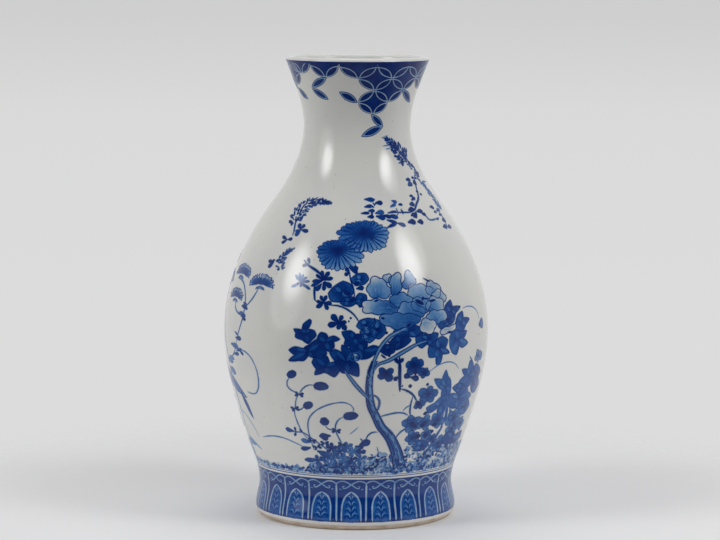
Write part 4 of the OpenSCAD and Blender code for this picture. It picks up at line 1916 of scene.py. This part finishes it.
def right_leaves(form: VaseForm, panel: Panel, name: str = "peony_leaves") -> Composition:
    """Lists the jagged leaves to the right of and below the peony.

    Args:
        form: The vase.
        panel: Where they go.
        name: Name of the piece.

    Returns:
        The group.
    """
    leaf = JaggedLeaf
    return Composition(
        name,
        42,
        form,
        (
            leaf(((16.6, 133), (19, 135.6), (23, 137), (27.4, 134.8), (28.8, 131.4), (26, 129.4),
                (22.4, 129.6), (18.4, 130.4)), (0.84, 0.6)),
            leaf(((41.3, 142), (42.5, 146.6), (45.8, 149.4), (46.8, 146.6), (51.4, 145.4), (48.4, 142.2),
                (47, 140.4), (44, 139.2), (41.4, 138.8)), (0.84, 0.6)),
            leaf(((37.6, 135.8), (40, 139), (43.6, 140.2), (47, 139.6), (45.4, 136.2), (42, 134.4),
                (39, 133.4)), (0.8, 0.56)),
            leaf(((48, 136.6), (49.6, 139.8), (52.6, 141.2), (53.4, 138.6), (57, 136.8), (54.4, 133.6),
                (52.2, 130.6), (49, 131.4), (47.6, 134)), (0.78, 0.56)),
            leaf(((44, 127), (47, 130.8), (50, 129.6), (54.4, 128.8), (52.8, 125), (55, 121.6),
                (51.4, 119.4), (49.4, 119.8), (48, 116), (45.4, 117.2), (43.8, 121.6)), (0.7, 0.5),
                heart=(48.6, 124.6)),
            leaf(((32.6, 122), (36, 125.8), (39, 127.2), (41.8, 124.6), (41.4, 120.2), (42.8, 117),
                (39.8, 116), (38.4, 111.6), (36.6, 111), (35.6, 114.4), (33, 115.6), (32.2, 119)),
                (0.78, 0.54), heart=(37.4, 120.4)),
            leaf(((26.4, 128.4), (29, 131.2), (33, 130.8), (36.4, 129.6), (35.6, 126), (34, 122.6),
                (31, 123.4), (29, 122.2), (26.8, 124.4)), (0.84, 0.6)),
            leaf(((36.8, 99.8), (40.2, 100), (42.2, 104.6), (43.8, 101.2), (45.6, 98), (46.8, 91.6),
                (46.2, 86), (42, 86.6), (41.2, 92), (39.2, 94.6)), (0.62, 0.5), heart=(43.2, 94)),
            leaf(((35, 81.2), (38.6, 84.2), (42, 87.6), (46.2, 87.8), (45.6, 81), (43.8, 76),
                (41.4, 76.6), (40.4, 79.8), (36.4, 77.8)), (0.62, 0.48), heart=(42, 82)),
            leaf(((45.6, 86.6), (48, 88.6), (52, 88.2), (54.6, 90.6), (59, 91.4), (62.4, 87.4),
                (66, 84.6), (61.4, 80), (58, 77), (54, 78.2), (50, 79.2), (46.8, 82)), (0.62, 0.48),
                heart=(54.6, 84)),
            leaf(((53.6, 103.6), (57.4, 104.2), (58.6, 108), (61.6, 106.2), (63.6, 102), (67, 99),
                (64, 95), (61, 92), (58.4, 92.8), (55, 94.4), (52.6, 96.4), (55.2, 99.6)), (0.64, 0.5),
                heart=(59.4, 99)),
            leaf(((48.8, 92.6), (52.6, 94.8), (56, 93.2), (58.4, 89.8), (54, 87.6), (51, 90)), (0.7, 0.5)),
            leaf(((57, 79), (60, 82), (64, 81.6), (67.6, 77), (64, 73), (60, 73.4), (57.6, 75.6)),
                (0.62, 0.46)),
            leaf(((62, 101), (65.4, 105), (69, 103), (72.4, 99), (70, 95), (66, 93), (63, 96)),
                (0.75, 0.55)),
            leaf(((64, 92), (68, 96), (72, 94), (74.6, 90), (71, 86.4), (66.6, 87.2)), (0.7, 0.5)),
            leaf(((31, 55.4), (33, 58.6), (37, 58), (39.6, 55), (36, 52.4), (32.6, 52.8)), (0.8, 0.45)),
            leaf(((50, 58), (53, 61.6), (58, 61), (62, 58.4), (68, 59.6), (69, 55.4), (63, 53.2),
                (57, 53.4), (52.6, 54)), (0.8, 0.55), heart=(58.6, 57.2)),
            Blossom((25.4, 110), 6.6, 5, 20, (0.95, 0.6)), Blossom((30.4, 105.4), 4.4, 5, 50, (0.9, 0.5)),
            Blossom((12.8, 106), 6.0, 4, 40, (0.96, 0.66)), Blossom((34, 90.4), 7.4, 5, 10, (0.73, 0.50)),
            Blossom((27.2, 71.4), 6.6, 5, 30, (0.73, 0.40)), Blossom((34.6, 71.2), 6.0, 5, 0, (0.73, 0.30)),
            Blossom((42.2, 71.6), 6.6, 5, 60, (0.73, 0.35)), Blossom((54.6, 71), 8.6, 6, 15, (0.63, 0.30)),
            Blossom((29.4, 61.6), 5.6, 5, 45, (0.73, 0.40)), Blossom((37, 62.8), 4.6, 5, 20, (0.78, 0.30)),
            Blossom((41.4, 59.4), 4.0, 5, 70, (0.73, 0.40)), Blossom((47, 55.4), 6.4, 5, 10, (0.73, 0.35)),
            Blossom((55.4, 63.6), 6.4, 5, 35, (0.63, 0.30)), Blossom((63, 66), 6.0, 5, 0, (0.58, 0.30)),
            Blossom((66, 111), 5.6, 4, 20, (0.48, 0.25)), Blossom((30, 84), 4.0, 5, 0, (0.85, 0.5)),
        ),
        (
            (((38, 41), (40, 49), (42.6, 56), (44.8, 62), (47.2, 67)), 3.0, 0.55),
            (((46, 66), (47.6, 74), (47, 80), (46, 85)), 2.6, 0.55),
            (((18.4, 117), (18.8, 110), (19.0, 103), (19.6, 93.4)), 2.2, 0.95),
            (((20, 95.4), (23, 94), (26, 91), (28.6, 86)), 1.2, 0.92),
            (((26, 90), (25.4, 84), (25.6, 79), (26.4, 76)), 1.0, 0.85),
            (((22, 80.6), (23.6, 83), (26, 84.2)), 0.7, 0.55),
            (((10, 76.8), (14, 78.2), (18.6, 79.4), (22.4, 79), (25.4, 76.8)), 0.9, 0.6),
            (((31, 103.6), (34, 106.6), (38, 109.6), (43, 110.8), (47.4, 109), (50.4, 105)), 0.9, 0.35),
            (((19.8, 61), (21, 64.4), (23.4, 67.4), (26, 68.6)), 1.0, 0.7),
            (((5.0, 61.4), (6.2, 64.8), (8.6, 66.8), (11, 66.6)), 1.0, 0.75),
            (((-2.6, 65.4), (-0.4, 68), (1.6, 70.6)), 0.5, 0.5),
            (((53, 144), (57, 144.8), (61.6, 143.8), (65.4, 140.4), (67, 135)), 0.8, 0.4),
            (((58, 112), (62, 106), (65, 98), (64, 88)), 1.4, 0.6),
        ),
        (
            ((66.2, 131), (72, 131.4), 6.4, 0.62), ((65, 109.6), (72, 110), 5.4, 0.5),
            ((18.4, 112), (16.4, 116.6), 2.4, 0.95), ((18.4, 112), (20.4, 115.6), 2.2, 0.95),
            ((18.6, 104), (16.2, 101.6), 2.6, 0.95), ((24, 103), (21, 105), 3.4, 0.92),
            ((24, 103), (28, 101), 3.4, 0.92), ((47, 79), (48.4, 69), 2.4, 0.6),
            ((49, 79), (52, 72), 2.6, 0.55), ((46.4, 84), (45, 74), 2.0, 0.4),
            ((38, 131.6), (46, 129), 1.0, 0.95), ((38.4, 128.6), (44, 130.6), 1.2, 0.95),
        ),
        (
            ((24.2, 97), (2.6, 2.4), 0, 0.98), ((23, 93.8), (1.8, 1.6), 0, 0.95),
            ((32.8, 97.2), (2.4, 2.0), 0, 0.9), ((29.2, 85), (3.2, 2.6), 0, 0.98),
            ((26.2, 106), (2.4, 4.4), 0, 0.98), ((20.4, 97.4), (1.6, 0.8), 60, 0.9),
            ((28.6, 70), (6.0, 3.2), -40, 0.98), ((33.6, 69.6), (4.0, 3.0), 0, 0.98),
            ((41, 69), (5.0, 3.2), -10, 0.98), ((32.2, 62.2), (4.6, 3.6), 0, 0.98),
            ((36.8, 62.4), (3.6, 3.4), 0, 0.98), ((34, 77.6), (3.4, 2.4), 20, 0.98),
            ((40.4, 64.4), (3.0, 2.4), 0, 0.95), ((57, 66.4), (3.4, 2.4), 10, 0.95),
            ((55, 51.8), (5.0, 2.4), 0, 0.9), ((30, 105), (3.0, 2.6), 0, 0.95),
            ((48.4, 52.6), (4.0, 2.4), 0, 0.9),
        ),
        panel,
    )


def burnet_stems(form: VaseForm, panel: Panel, name: str = "burnet_stems") -> Composition:
    """Lists the curling stems with oval heads and the leaves at their feet.

    Args:
        form: The vase.
        panel: Where they go.
        name: Name of the piece.

    Returns:
        The group.
    """
    sprigs = (
        (-25.6, 91, 0), (-28.6, 81, 20), (-9.2, 67.6, 0), (-22, 60, -10), (-15.4, 58.6, 10), (-6.6, 58, 0),
        (-19.6, 55.6, 30),
    )
    tufts = (
        (-12, 55), (-8, 53), (-4, 56), (-1, 53), (2, 54), (-16, 49), (-11, 49), (-6, 48), (-2, 48),
        (-20, 46), (3, 48), (-14, 44), (-9, 43), (-3, 44),
    )
    def tip(a: float, z: float, turn: float, reach: tuple[float, float]) -> Place:
        """Finds the tip of a leaf that leans from its base."""
        return (a + reach[0] * math.cos(math.radians(turn)), z + reach[1] * math.sin(math.radians(turn)))

    leaves = tuple(
        ((a, z), tip(a, z, turn + t, (2.6, 2.6)), 1.5, 0.88)
        for a, z, turn in sprigs
        for t in (15, 140, 205, 320)
    ) + tuple(
        ((a, z), tip(a, z, t + 9 * k, (3.4, 4.4)), 2.3, 0.86 - 0.13 * (k % 4))
        for k, (a, z) in enumerate(tufts)
        for t in (20, 85, 150, 215, 300)
    )
    return Composition(
        name,
        43,
        form,
        (
            Bud((-28.4, 104), (3.6, 2.4), 24), Bud((-15.2, 97.4), (5.0, 2.6), 0),
            Bud((-21.8, 84), (3.6, 2.2), 24), Bud((-14.6, 73.6), (2.9, 2.7), 10),
            Bud((-2.2, 77.8), (4.9, 2.6), 5),
        ),
        (
            (((-29.8, 101.6), (-31.2, 98), (-30.4, 94.4), (-26.2, 91.4)), 0.61, 0.8),
            (((-18.4, 97.8), (-21, 97.6), (-23.8, 94.6), (-25.6, 91.2)), 0.61, 0.85),
            (((-25.6, 91), (-27.2, 88), (-28.4, 82), (-29.2, 78), (-28.4, 72), (-26.4, 65), (-22, 58)),
                0.61, 0.65),
            (((-23.8, 82.8), (-26, 80.6), (-28.6, 81)), 0.61, 0.8),
            (((-1, 80), (-1.2, 84), (-4.6, 86.8), (-9.6, 86.2), (-15, 83.4), (-19.4, 79.4), (-22.4, 74),
                (-23.2, 67), (-22.4, 60), (-21.4, 53)), 0.68, 0.65),
            (((-5.2, 77.4), (-8, 75), (-9.5, 70.6), (-9.2, 66.4), (-7.4, 60.6), (-6, 56)), 0.68, 0.75),
            (((-14.4, 71), (-13, 68.6), (-9.8, 67.6)), 0.61, 0.75),
            (((-55, 57.4), (-50, 59), (-44, 60), (-38, 59.6), (-32, 57.4), (-27, 55)), 0.61, 0.45),
            (((-36, 66.6), (-31, 65), (-26, 65), (-21.6, 61), (-16, 56), (-11, 51)), 0.75, 0.8),
            (((5.4, 60), (2, 57), (-1.4, 52.4)), 0.75, 0.9),
            (((10.8, 56.6), (11.6, 53.4), (12.4, 50)), 0.5, 0.7), (((2.4, 62.6), (3.6, 60.4)), 0.8, 0.7),
        ),
        leaves
        + (
            ((-31, 65.4), (-36, 66.6), 2.8, 0.8), ((-30, 65), (-30.4, 68.6), 1.4, 0.8),
            ((-30, 65), (-31.4, 62), 1.6, 0.8), ((-26, 65), (-28, 67.4), 1.4, 0.85),
            ((-18, 63.6), (-13.4, 61.4), 3.6, 0.92), ((-12, 64), (-17.6, 64), 3.4, 0.92),
            ((-22, 59), (-28, 60), 3.0, 0.6), ((-23, 55), (-29, 53.6), 2.8, 0.85),
            ((-20, 53), (-13, 49), 4.0, 0.75), ((-19, 47), (-28, 46), 3.0, 0.8),
            ((1.6, 57), (7.4, 60.6), 4.4, 0.85), ((2, 52), (5.4, 54), 2.6, 0.9),
        ),
        (),
        panel,
    )


def spike_stems(form: VaseForm, panel: Panel, name: str = "flower_spikes") -> Composition:
    """Lists the two drooping spikes, their stems and the sprigs along them.

    Args:
        form: The vase.
        panel: Where they go.
        name: Name of the piece.

    Returns:
        The group.
    """
    return Composition(
        name,
        44,
        form,
        (
            Spike(((-39.4, 201), (-39.6, 205), (-37.6, 209), (-33, 211.4), (-27, 212.8), (-19, 212)),
                13.5, 150, (0.96, 0.7), (2.6, 1.0)),
            Spike(((-38.6, 171), (-39.4, 176), (-37.8, 181), (-34, 183)), 8.0, 60, (0.9, 0.5)),
            Spike(((53, 239.6), (48, 243), (43, 246.4), (37, 250), (31, 252.4)), 14.5, 165, (0.96, 0.66),
                (2.7, 1.0), 0.75),
            Spike(((66, 228), (61, 232), (57, 236), (53, 240), (49, 242.6)), 6.5, 60, (0.92, 0.6)),
            Spike(((71, 207), (71.4, 213), (69, 219), (66, 222.6), (63, 225)), 9.5, 120, (0.62, 0.42),
                (2.8, 1.1), 0.4),
            Spike(((10, 205), (12, 209), (12, 214)), 5.0, 12, (0.9, 0.7)),
        ),
        (
            (((-38.6, 203), (-38.8, 199), (-37.6, 194.4), (-37.4, 191)), 1.1, 0.8),
            (((-41.4, 174.4), (-39.6, 173.6)), 1.2, 0.7),
            (((61, 229), (57, 226), (54, 221), (50.6, 214.4), (45, 210.6), (41, 207.4), (36, 206),
                (30, 206.2), (22, 206)), 1.2, 0.9),
            (((41, 206), (45, 206), (48, 203.4), (50, 200.4), (55, 200.4), (61, 201)), 1.0, 0.7),
            (((27, 209), (27.4, 206), (26, 204)), 0.7, 0.7), (((65, 207), (66, 200), (65, 195)), 1.2, 0.8),
            (((63, 222), (70, 223.4), (77, 223)), 1.2, 0.6),
        ),
        (
            ((-33, 195), (-36, 198.8), 2.6, 0.9), ((-33, 195.6), (-31.4, 198.4), 2.4, 0.9),
            ((-33, 195), (-28, 194), 2.4, 0.97), ((-33.4, 194.6), (-36, 191.2), 3.0, 0.8),
            ((-33, 195), (-37, 194), 1.8, 0.85), ((-40, 188.4), (-44.4, 190.4), 2.0, 0.95),
            ((-40, 188.4), (-43.4, 186), 2.0, 0.95), ((-40, 188.4), (-36.6, 189), 2.2, 0.95),
            ((-40, 198.4), (-44.6, 200), 2.0, 0.95), ((-40.4, 198), (-42, 197.6), 1.8, 0.9),
            ((-44, 174), (-48, 174.6), 2.2, 0.97), ((-44, 174), (-47, 170.4), 2.6, 0.9),
            ((-44, 174), (-44.6, 176), 2.0, 0.95), ((-43, 174.6), (-40.6, 175.4), 1.8, 0.95),
            ((5.2, 214.6), (12.8, 214), 3.0, 0.85), ((12.6, 212.2), (18.4, 212.2), 3.0, 0.97),
            ((5.0, 209.8), (11, 210.6), 2.4, 0.9), ((2.6, 206), (8.4, 206.2), 2.0, 0.97),
            ((7.4, 207.4), (12, 207.6), 2.4, 0.9), ((6.6, 203.8), (11, 204), 2.6, 0.95),
            ((11.8, 206), (18, 206.6), 3.4, 0.7), ((12, 204.4), (18, 202.6), 3.2, 0.85),
            ((16.6, 204.8), (22, 203.2), 2.6, 0.95), ((20, 204.4), (26.6, 203), 3.2, 0.85),
            ((18.4, 202), (25, 199.6), 2.4, 0.95), ((24.6, 199.8), (30, 197.8), 2.6, 0.85),
            ((17.6, 197), (24.6, 199.8), 2.2, 0.85), ((20, 206), (27, 207), 1.6, 0.85),
            ((23, 209.6), (28, 211.4), 1.8, 0.6), ((25, 213.6), (29, 212), 2.4, 0.7),
            ((29.4, 210.8), (33, 210.8), 2.0, 0.9), ((30.4, 208.4), (30.8, 205), 1.4, 0.85),
            ((35.6, 207), (41, 208), 3.0, 0.97), ((38.6, 210.4), (43.4, 210.6), 3.4, 0.9),
            ((36, 203.6), (40, 205), 2.2, 0.95), ((41.4, 205.8), (37.6, 202.8), 3.2, 0.97),
            ((40, 202), (38, 205), 2.6, 0.97), ((42, 206), (47.6, 206), 3.0, 0.95),
            ((45.4, 204.4), (49, 203.6), 2.6, 0.97), ((32, 199.8), (38, 200), 3.6, 0.95),
            ((39, 199.8), (43.8, 199.4), 3.4, 0.97), ((41.8, 215.6), (45.6, 215.6), 2.0, 0.85),
            ((42, 213), (47, 214.6), 2.2, 0.9), ((45, 222), (51, 223.4), 3.4, 0.75),
            ((45, 225.8), (50.6, 225.4), 2.6, 0.9), ((52.4, 223), (57, 223.6), 3.8, 0.97),
            ((51, 218), (54, 218), 2.0, 0.95), ((54, 216.2), (56.6, 216), 1.8, 0.85),
            ((48.4, 213.6), (50.6, 213.6), 1.8, 0.95), ((53, 226.6), (56.6, 226.6), 2.0, 0.9),
            ((57, 226), (61, 226.4), 1.6, 0.8), ((57, 208), (62, 207.2), 2.6, 0.95),
            ((58.6, 204.6), (62, 204.6), 2.0, 0.9), ((62.6, 205), (69, 205.8), 2.2, 0.75),
            ((60, 201), (57, 200), 1.6, 0.8), ((62.6, 202.4), (67, 202.6), 2.0, 0.8),
            ((63, 199), (67.4, 198.6), 3.6, 0.9), ((59.6, 195), (64.6, 195), 3.2, 0.9),
            ((65, 194.6), (70.4, 194.4), 2.8, 0.85),
        ),
        (
            ((28.6, 253.2), (3, 0.9), 4, 0.35), ((32.4, 254.2), (2.6, 0.9), 4, 0.35),
            ((31, 248), (5, 0.9), 4, 0.35), ((36, 250.8), (4, 0.9), 4, 0.35), ((33, 246), (4, 0.9), 4, 0.35),
        ),
        panel,
    )


def thistle_spray(form: VaseForm, panel: Panel, name: str = "thistle_heads") -> Composition:
    """Lists the fan-shaped heads on the left, their stems and the long blades below.

    Args:
        form: The vase.
        panel: Where they go.
        name: Name of the piece.

    Returns:
        The group.
    """
    return Composition(
        name,
        45,
        form,
        (
            ThistleHead((-48.6, 159.6), (12.4, 6.6), 34), ThistleHead((-67.6, 164), (13.0, 6.6), 30),
            ThistleHead((-67.8, 149), (11.6, 5.8), 28), ThistleHead((-88, 158), (13.0, 6.6), 30),
            ThistleHead((-97, 170), (13.0, 6.6), 30),
        ),
        (
            (((-70, 160.4), (-66, 160), (-62, 157.6), (-58.6, 151.6), (-57.2, 145), (-57.4, 138),
                (-59.2, 131), (-61, 125), (-62.6, 119)), 1.2, 0.55),
            (((-49.6, 157), (-51, 152.6), (-53.4, 148), (-55.8, 144.8)), 1.0, 0.6),
            (((-67, 146), (-66, 142), (-62.4, 139), (-57.4, 138)), 1.0, 0.6),
            (((-62.6, 119), (-65, 113), (-69, 109), (-75, 107)), 1.0, 0.5),
            (((-60, 115.4), (-55.4, 115), (-50.6, 111), (-47.8, 103), (-48, 94), (-51, 88), (-55.6, 87),
                (-58.4, 88)), 0.9, 0.45),
            (((-88, 156), (-86, 146), (-82, 132), (-78, 118), (-75, 107), (-73, 90), (-74, 60),
                (-76, 42)), 1.2, 0.6),
            (((-97, 168), (-94, 158), (-90, 150), (-86, 146)), 1.0, 0.6),
            (((-75, 72.4), (-70, 71.6), (-65, 68.4), (-60.6, 62), (-58.4, 57)), 0.8, 0.3),
        ),
        (
            ((-96, 104), (-60, 83), 9.5, 0.62), ((-66, 87.6), (-58.8, 69), 4.4, 0.66),
            ((-86, 80), (-100, 62), 6.0, 0.6), ((-60, 144), (-55.4, 143.6), 2.8, 0.8),
            ((-59, 146.6), (-55.6, 144.4), 2.0, 0.75), ((-58, 144), (-54.6, 142.4), 1.8, 0.9),
            ((-59.6, 137.4), (-55.4, 138), 2.6, 0.8), ((-58, 136), (-55, 135.6), 1.6, 0.9),
            ((-61.6, 139.6), (-57.6, 139.4), 1.6, 0.6), ((-63.4, 122.6), (-58, 122.6), 2.6, 0.78),
            ((-64.4, 126.4), (-61, 124.6), 1.4, 0.6), ((-69, 117.6), (-60.6, 116.4), 3.2, 0.55),
            ((-66, 111.4), (-60.6, 112.2), 2.2, 0.7), ((-60, 114.6), (-56.6, 112.4), 1.8, 0.8),
            ((-63, 114), (-57.6, 115.8), 2.0, 0.7), ((-75, 101), (-67, 98), 4.0, 0.55),
            ((-76, 106), (-68, 105.6), 3.2, 0.5), ((-73, 109), (-66, 107.6), 2.2, 0.5),
            ((-78, 52), (-66, 50), 4.6, 0.45), ((-74, 55), (-60, 47.6), 2.2, 0.35),
            ((-80, 60), (-92, 74), 5.0, 0.5),
        ),
        (),
        panel,
    )


# The studio


@dataclass
class SoftBox:
    """Soft light that looks at the middle of the vase."""

    name: str
    azimuth: float
    elevation: float
    distance: float
    size: tuple[float, float]
    power: float
    soft: float = 0.0
    mirrored: bool = True
    aim: float = 0.17

    def build(self) -> bpy.types.Object:
        """Makes the light.

        Returns:
            The light, hidden from the camera.
        """
        data = bpy.data.lights.new(self.name, "AREA")
        data.shape = "RECTANGLE"
        data.size, data.size_y = self.size
        data.energy = self.power
        light = bpy.data.objects.new(self.name, data)
        a, e = math.radians(self.azimuth), math.radians(self.elevation)
        away = Vector((math.sin(a) * math.cos(e), -math.cos(a) * math.cos(e), math.sin(e)))
        light.location = Vector((0.0, 0.0, self.aim)) + away * self.distance
        light.rotation_euler = away.to_track_quat("Z", "Y").to_euler()
        light.visible_camera = False
        light.visible_glossy = self.mirrored
        if self.soft:
            self._soften(data)
        bpy.context.scene.collection.objects.link(light)
        return light

    def _soften(self, data: bpy.types.Light) -> None:
        """Dims the light towards its rim, as a diffuser does.

        Args:
            data: The light.
        """
        data.use_nodes = True
        tree = data.node_tree
        lamp = next(node for node in tree.nodes if node.type == "EMISSION")
        where = tree.nodes.new("ShaderNodeNewGeometry")
        away = tree.nodes.new("ShaderNodeVectorMath")
        away.operation = "DISTANCE"
        away.inputs[1].default_value = (0.5, 0.5, 0.0)
        fade = tree.nodes.new("ShaderNodeMapRange")
        fade.interpolation_type = "SMOOTHSTEP"
        limits = (0.5 * (1 - self.soft), 0.5, 1.0, 0.0)
        for name, value in zip(("From Min", "From Max", "To Min", "To Max"), limits):
            fade.inputs[name].default_value = value
        tree.links.new(where.outputs["Parametric"], away.inputs[0])
        tree.links.new(away.outputs["Value"], fade.inputs["Value"])
        tree.links.new(fade.outputs["Result"], lamp.inputs["Strength"])


@dataclass
class Studio:
    """Camera, lights, backdrop tone and floor."""

    camera_at: tuple[float, float, float] = (0.0024, -1.861, 0.3717)
    pitch: float = 6.4
    roll: float = 0.29
    lens: float = 140.7
    seen_stops: tuple[Place, ...] = ((0.44, 0.715), (0.472, 0.70), (0.49, 0.62), (0.56, 0.56))
    lit_stops: tuple[Place, ...] = ((0.0, 0.05), (0.3, 0.12), (0.55, 0.45), (1.0, 0.72))
    floor_r: float = 1.2
    floor_solid_r: float = 0.20
    floor_edge_r: float = 0.42
    boxes: tuple[SoftBox, ...] = (
        SoftBox("left_box", -66, 20, 1.8, (1.25, 1.55), 8.0, 0.22),
        SoftBox("right_box", 66, 38, 1.8, (1.10, 0.95), 6.5, 0.35),
        SoftBox("left_core", -63, 29, 1.7, (0.90, 1.15), 24.0, 0.8),
        SoftBox("right_core", 60, 35, 1.7, (0.90, 1.10), 23.0, 0.8),
        SoftBox("top_box", 180, 70, 2.2, (1.6, 1.6), 8.0),
        SoftBox("fill", 26, 28, 2.2, (1.6, 1.6), 8.6, mirrored=False),
    )

    def camera(self) -> None:
        """Makes the camera."""
        data = bpy.data.cameras.new("camera")
        data.lens = self.lens
        data.sensor_width = 36.0
        data.clip_start, data.clip_end = 0.05, 50.0
        data.dof.use_dof = False
        eye = bpy.data.objects.new("camera", data)
        eye.location = self.camera_at
        turn = Euler((math.radians(90 - self.pitch), 0.0, 0.0)).to_matrix()
        roll = Euler((0.0, 0.0, math.radians(self.roll))).to_matrix()
        eye.rotation_euler = (turn @ roll).to_euler()
        bpy.context.scene.collection.objects.link(eye)
        bpy.context.scene.camera = eye

    def sky(self) -> None:
        """Sets the tone of the backdrop, and the dimmer room that lights the vase."""
        world = bpy.data.worlds.new("studio")
        bpy.context.scene.world = world
        world.use_nodes = True
        tree = world.node_tree
        tree.nodes.clear()
        out = tree.nodes.new("ShaderNodeOutputWorld")
        where = tree.nodes.new("ShaderNodeTexCoord")
        split = tree.nodes.new("ShaderNodeSeparateXYZ")
        tree.links.new(where.outputs["Generated"], split.inputs[0])
        shades = []
        for axis, stops in (("Z", self.seen_stops), ("Y", self.lit_stops)):
            lift = tree.nodes.new("ShaderNodeMath")
            lift.operation = "MULTIPLY_ADD"
            lift.inputs[1].default_value = 0.5
            lift.inputs[2].default_value = 0.5
            tree.links.new(split.outputs[axis], lift.inputs[0])
            band = tree.nodes.new("ShaderNodeValToRGB")
            ramp = band.color_ramp
            while len(ramp.elements) < len(stops):
                ramp.elements.new(0.5)
            for element, (position, value) in zip(ramp.elements, stops):
                element.position = position
                element.color = (value, value, value, 1.0)
            tree.links.new(lift.outputs[0], band.inputs["Fac"])
            shade = tree.nodes.new("ShaderNodeBackground")
            tree.links.new(band.outputs["Color"], shade.inputs["Color"])
            shades.append(shade)
        pick = tree.nodes.new("ShaderNodeLightPath")
        mix = tree.nodes.new("ShaderNodeMixShader")
        tree.links.new(pick.outputs["Is Camera Ray"], mix.inputs[0])
        tree.links.new(shades[1].outputs[0], mix.inputs[1])
        tree.links.new(shades[0].outputs[0], mix.inputs[2])
        tree.links.new(mix.outputs[0], out.inputs["Surface"])

    def floor(self) -> bpy.types.Object:
        """Makes the floor, which fades into the backdrop away from the vase.

        Returns:
            The floor.
        """
        deselect_all()
        bpy.ops.mesh.primitive_circle_add(vertices=96, radius=self.floor_r, fill_type="NGON")
        floor = bpy.context.object
        floor.name = "studio_floor"
        bench = NodeBench("floor_paper")
        paper = Paper()
        tint = bench.ramp(bench.noise(3.0), [(0.4, paper.shade), (0.6, paper.tint)])
        bench.link(tint, bench.shader.inputs["Base Color"])
        bench.shader.inputs["Roughness"].default_value = 0.9
        where = bench.add("ShaderNodeTexCoord")
        far = bench.add("ShaderNodeVectorMath", operation="LENGTH")
        bench.link(where.outputs["Object"], far.inputs[0])
        fade = bench.add("ShaderNodeMapRange", interpolation_type="SMOOTHSTEP")
        bench.link(far.outputs["Value"], fade.inputs["Value"])
        fade.inputs["From Min"].default_value = self.floor_solid_r
        fade.inputs["From Max"].default_value = self.floor_edge_r
        fade.inputs["To Min"].default_value = 1.0
        fade.inputs["To Max"].default_value = 0.0
        bench.link(fade.outputs["Result"], bench.shader.inputs["Alpha"])
        floor.data.materials.append(bench.material)
        return floor

    def build(self) -> None:
        """Sets up the studio."""
        bpy.context.scene.view_settings.view_transform = "Standard"
        for box in self.boxes:
            box.build()
        self.sky()
        self.floor()


# The whole vase


@dataclass
class Vase:
    """The finished vase: its coats of glaze, its bare foot and its painting."""

    form: VaseForm = field(default_factory=VaseForm)
    daisies: tuple[Chrysanthemum, ...] = (
        Chrysanthemum((5.0, 194.0), (16.0, 9.4, 18.5, 14.0), 28),
        Chrysanthemum((-9.4, 183.6), (17.4, 7.4, 14.0, 14.4), 25),
    )

    def _keep(self, piece: bpy.types.Object, slot: str, *nodes: str) -> None:
        """Ties a piece to the frame and reports it.

        Args:
            piece: The piece.
            slot: Name of the material slot for its finish; not used.
            nodes: CAD nodes that it stands for.
        """
        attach(piece, BODY)
        if nodes:
            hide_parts(*nodes)
        LOG.info("%s: %d faces", piece.name, len(piece.data.polygons))

    def bodies(self, glaze: bpy.types.Material, clay: bpy.types.Material) -> None:
        """Turns the coats and the foot.

        Args:
            glaze: Finish of the coats.
            clay: Finish of the foot.
        """
        coats = Coats(self.form)
        for piece, finish, slot, node in (
            (coats.outer(), glaze, "painted_glaze", "outer_glaze"),
            (coats.inner(), glaze, "clear_glaze", "inner_glaze"),
            (coats.foot(), clay, "bare_clay", "foot_ring"),
        ):
            piece.data.materials.append(finish)
            self._keep(piece, slot, node)

    def painting(self, cobalt: bpy.types.Material) -> None:
        """Paints every part of the decoration.

        Args:
            cobalt: Its finish.
        """
        form = self.form
        for part in (RimBorder(form), FootBorder(form), GroundMoss(form), thistle_spray(form, Panel())):
            self._keep(part.build(cobalt), "cobalt")
        for side, panel, upper in (
            ("front", Panel(), Panel()),
            ("back", Panel(184.0, True), Panel(170.0, True, 5.0)),
        ):
            for part in (
                Trunk(form, f"{side}_peony_branch", panel),
                burnet_stems(form, panel, f"{side}_burnet_stems"),
                spike_stems(form, upper, f"{side}_flower_spikes"),
                right_leaves(form, panel, f"{side}_peony_leaves"),
                front_leaves(form, panel, f"{side}_branch_leaves"),
                Composition(f"{side}_chrysanthemums", 46, form, self.daisies, panel=upper),
                Composition(f"{side}_peony_flower", 47, form, (Peony(),), panel=panel),
            ):
                self._keep(part.build(cobalt), "cobalt")


def main() -> None:
    """Builds the studio and the vase, and reports each piece."""
    logging.basicConfig(level=logging.INFO, format="%(message)s")
    Studio().camera()
    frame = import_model()
    glaze = ClearGlaze().make("clear_glaze")
    clay = DryClay().make("bare_clay")
    for node in frame["nodes"].values():
        node.data.materials.clear()
        node.data.materials.append(glaze if "glaze" in node.name else clay)
    vase = Vase()
    vase.bodies(glaze, clay)
    vase.painting(Cobalt().make("cobalt"))
    Studio().build()


if __name__ == "__main__":
    main()
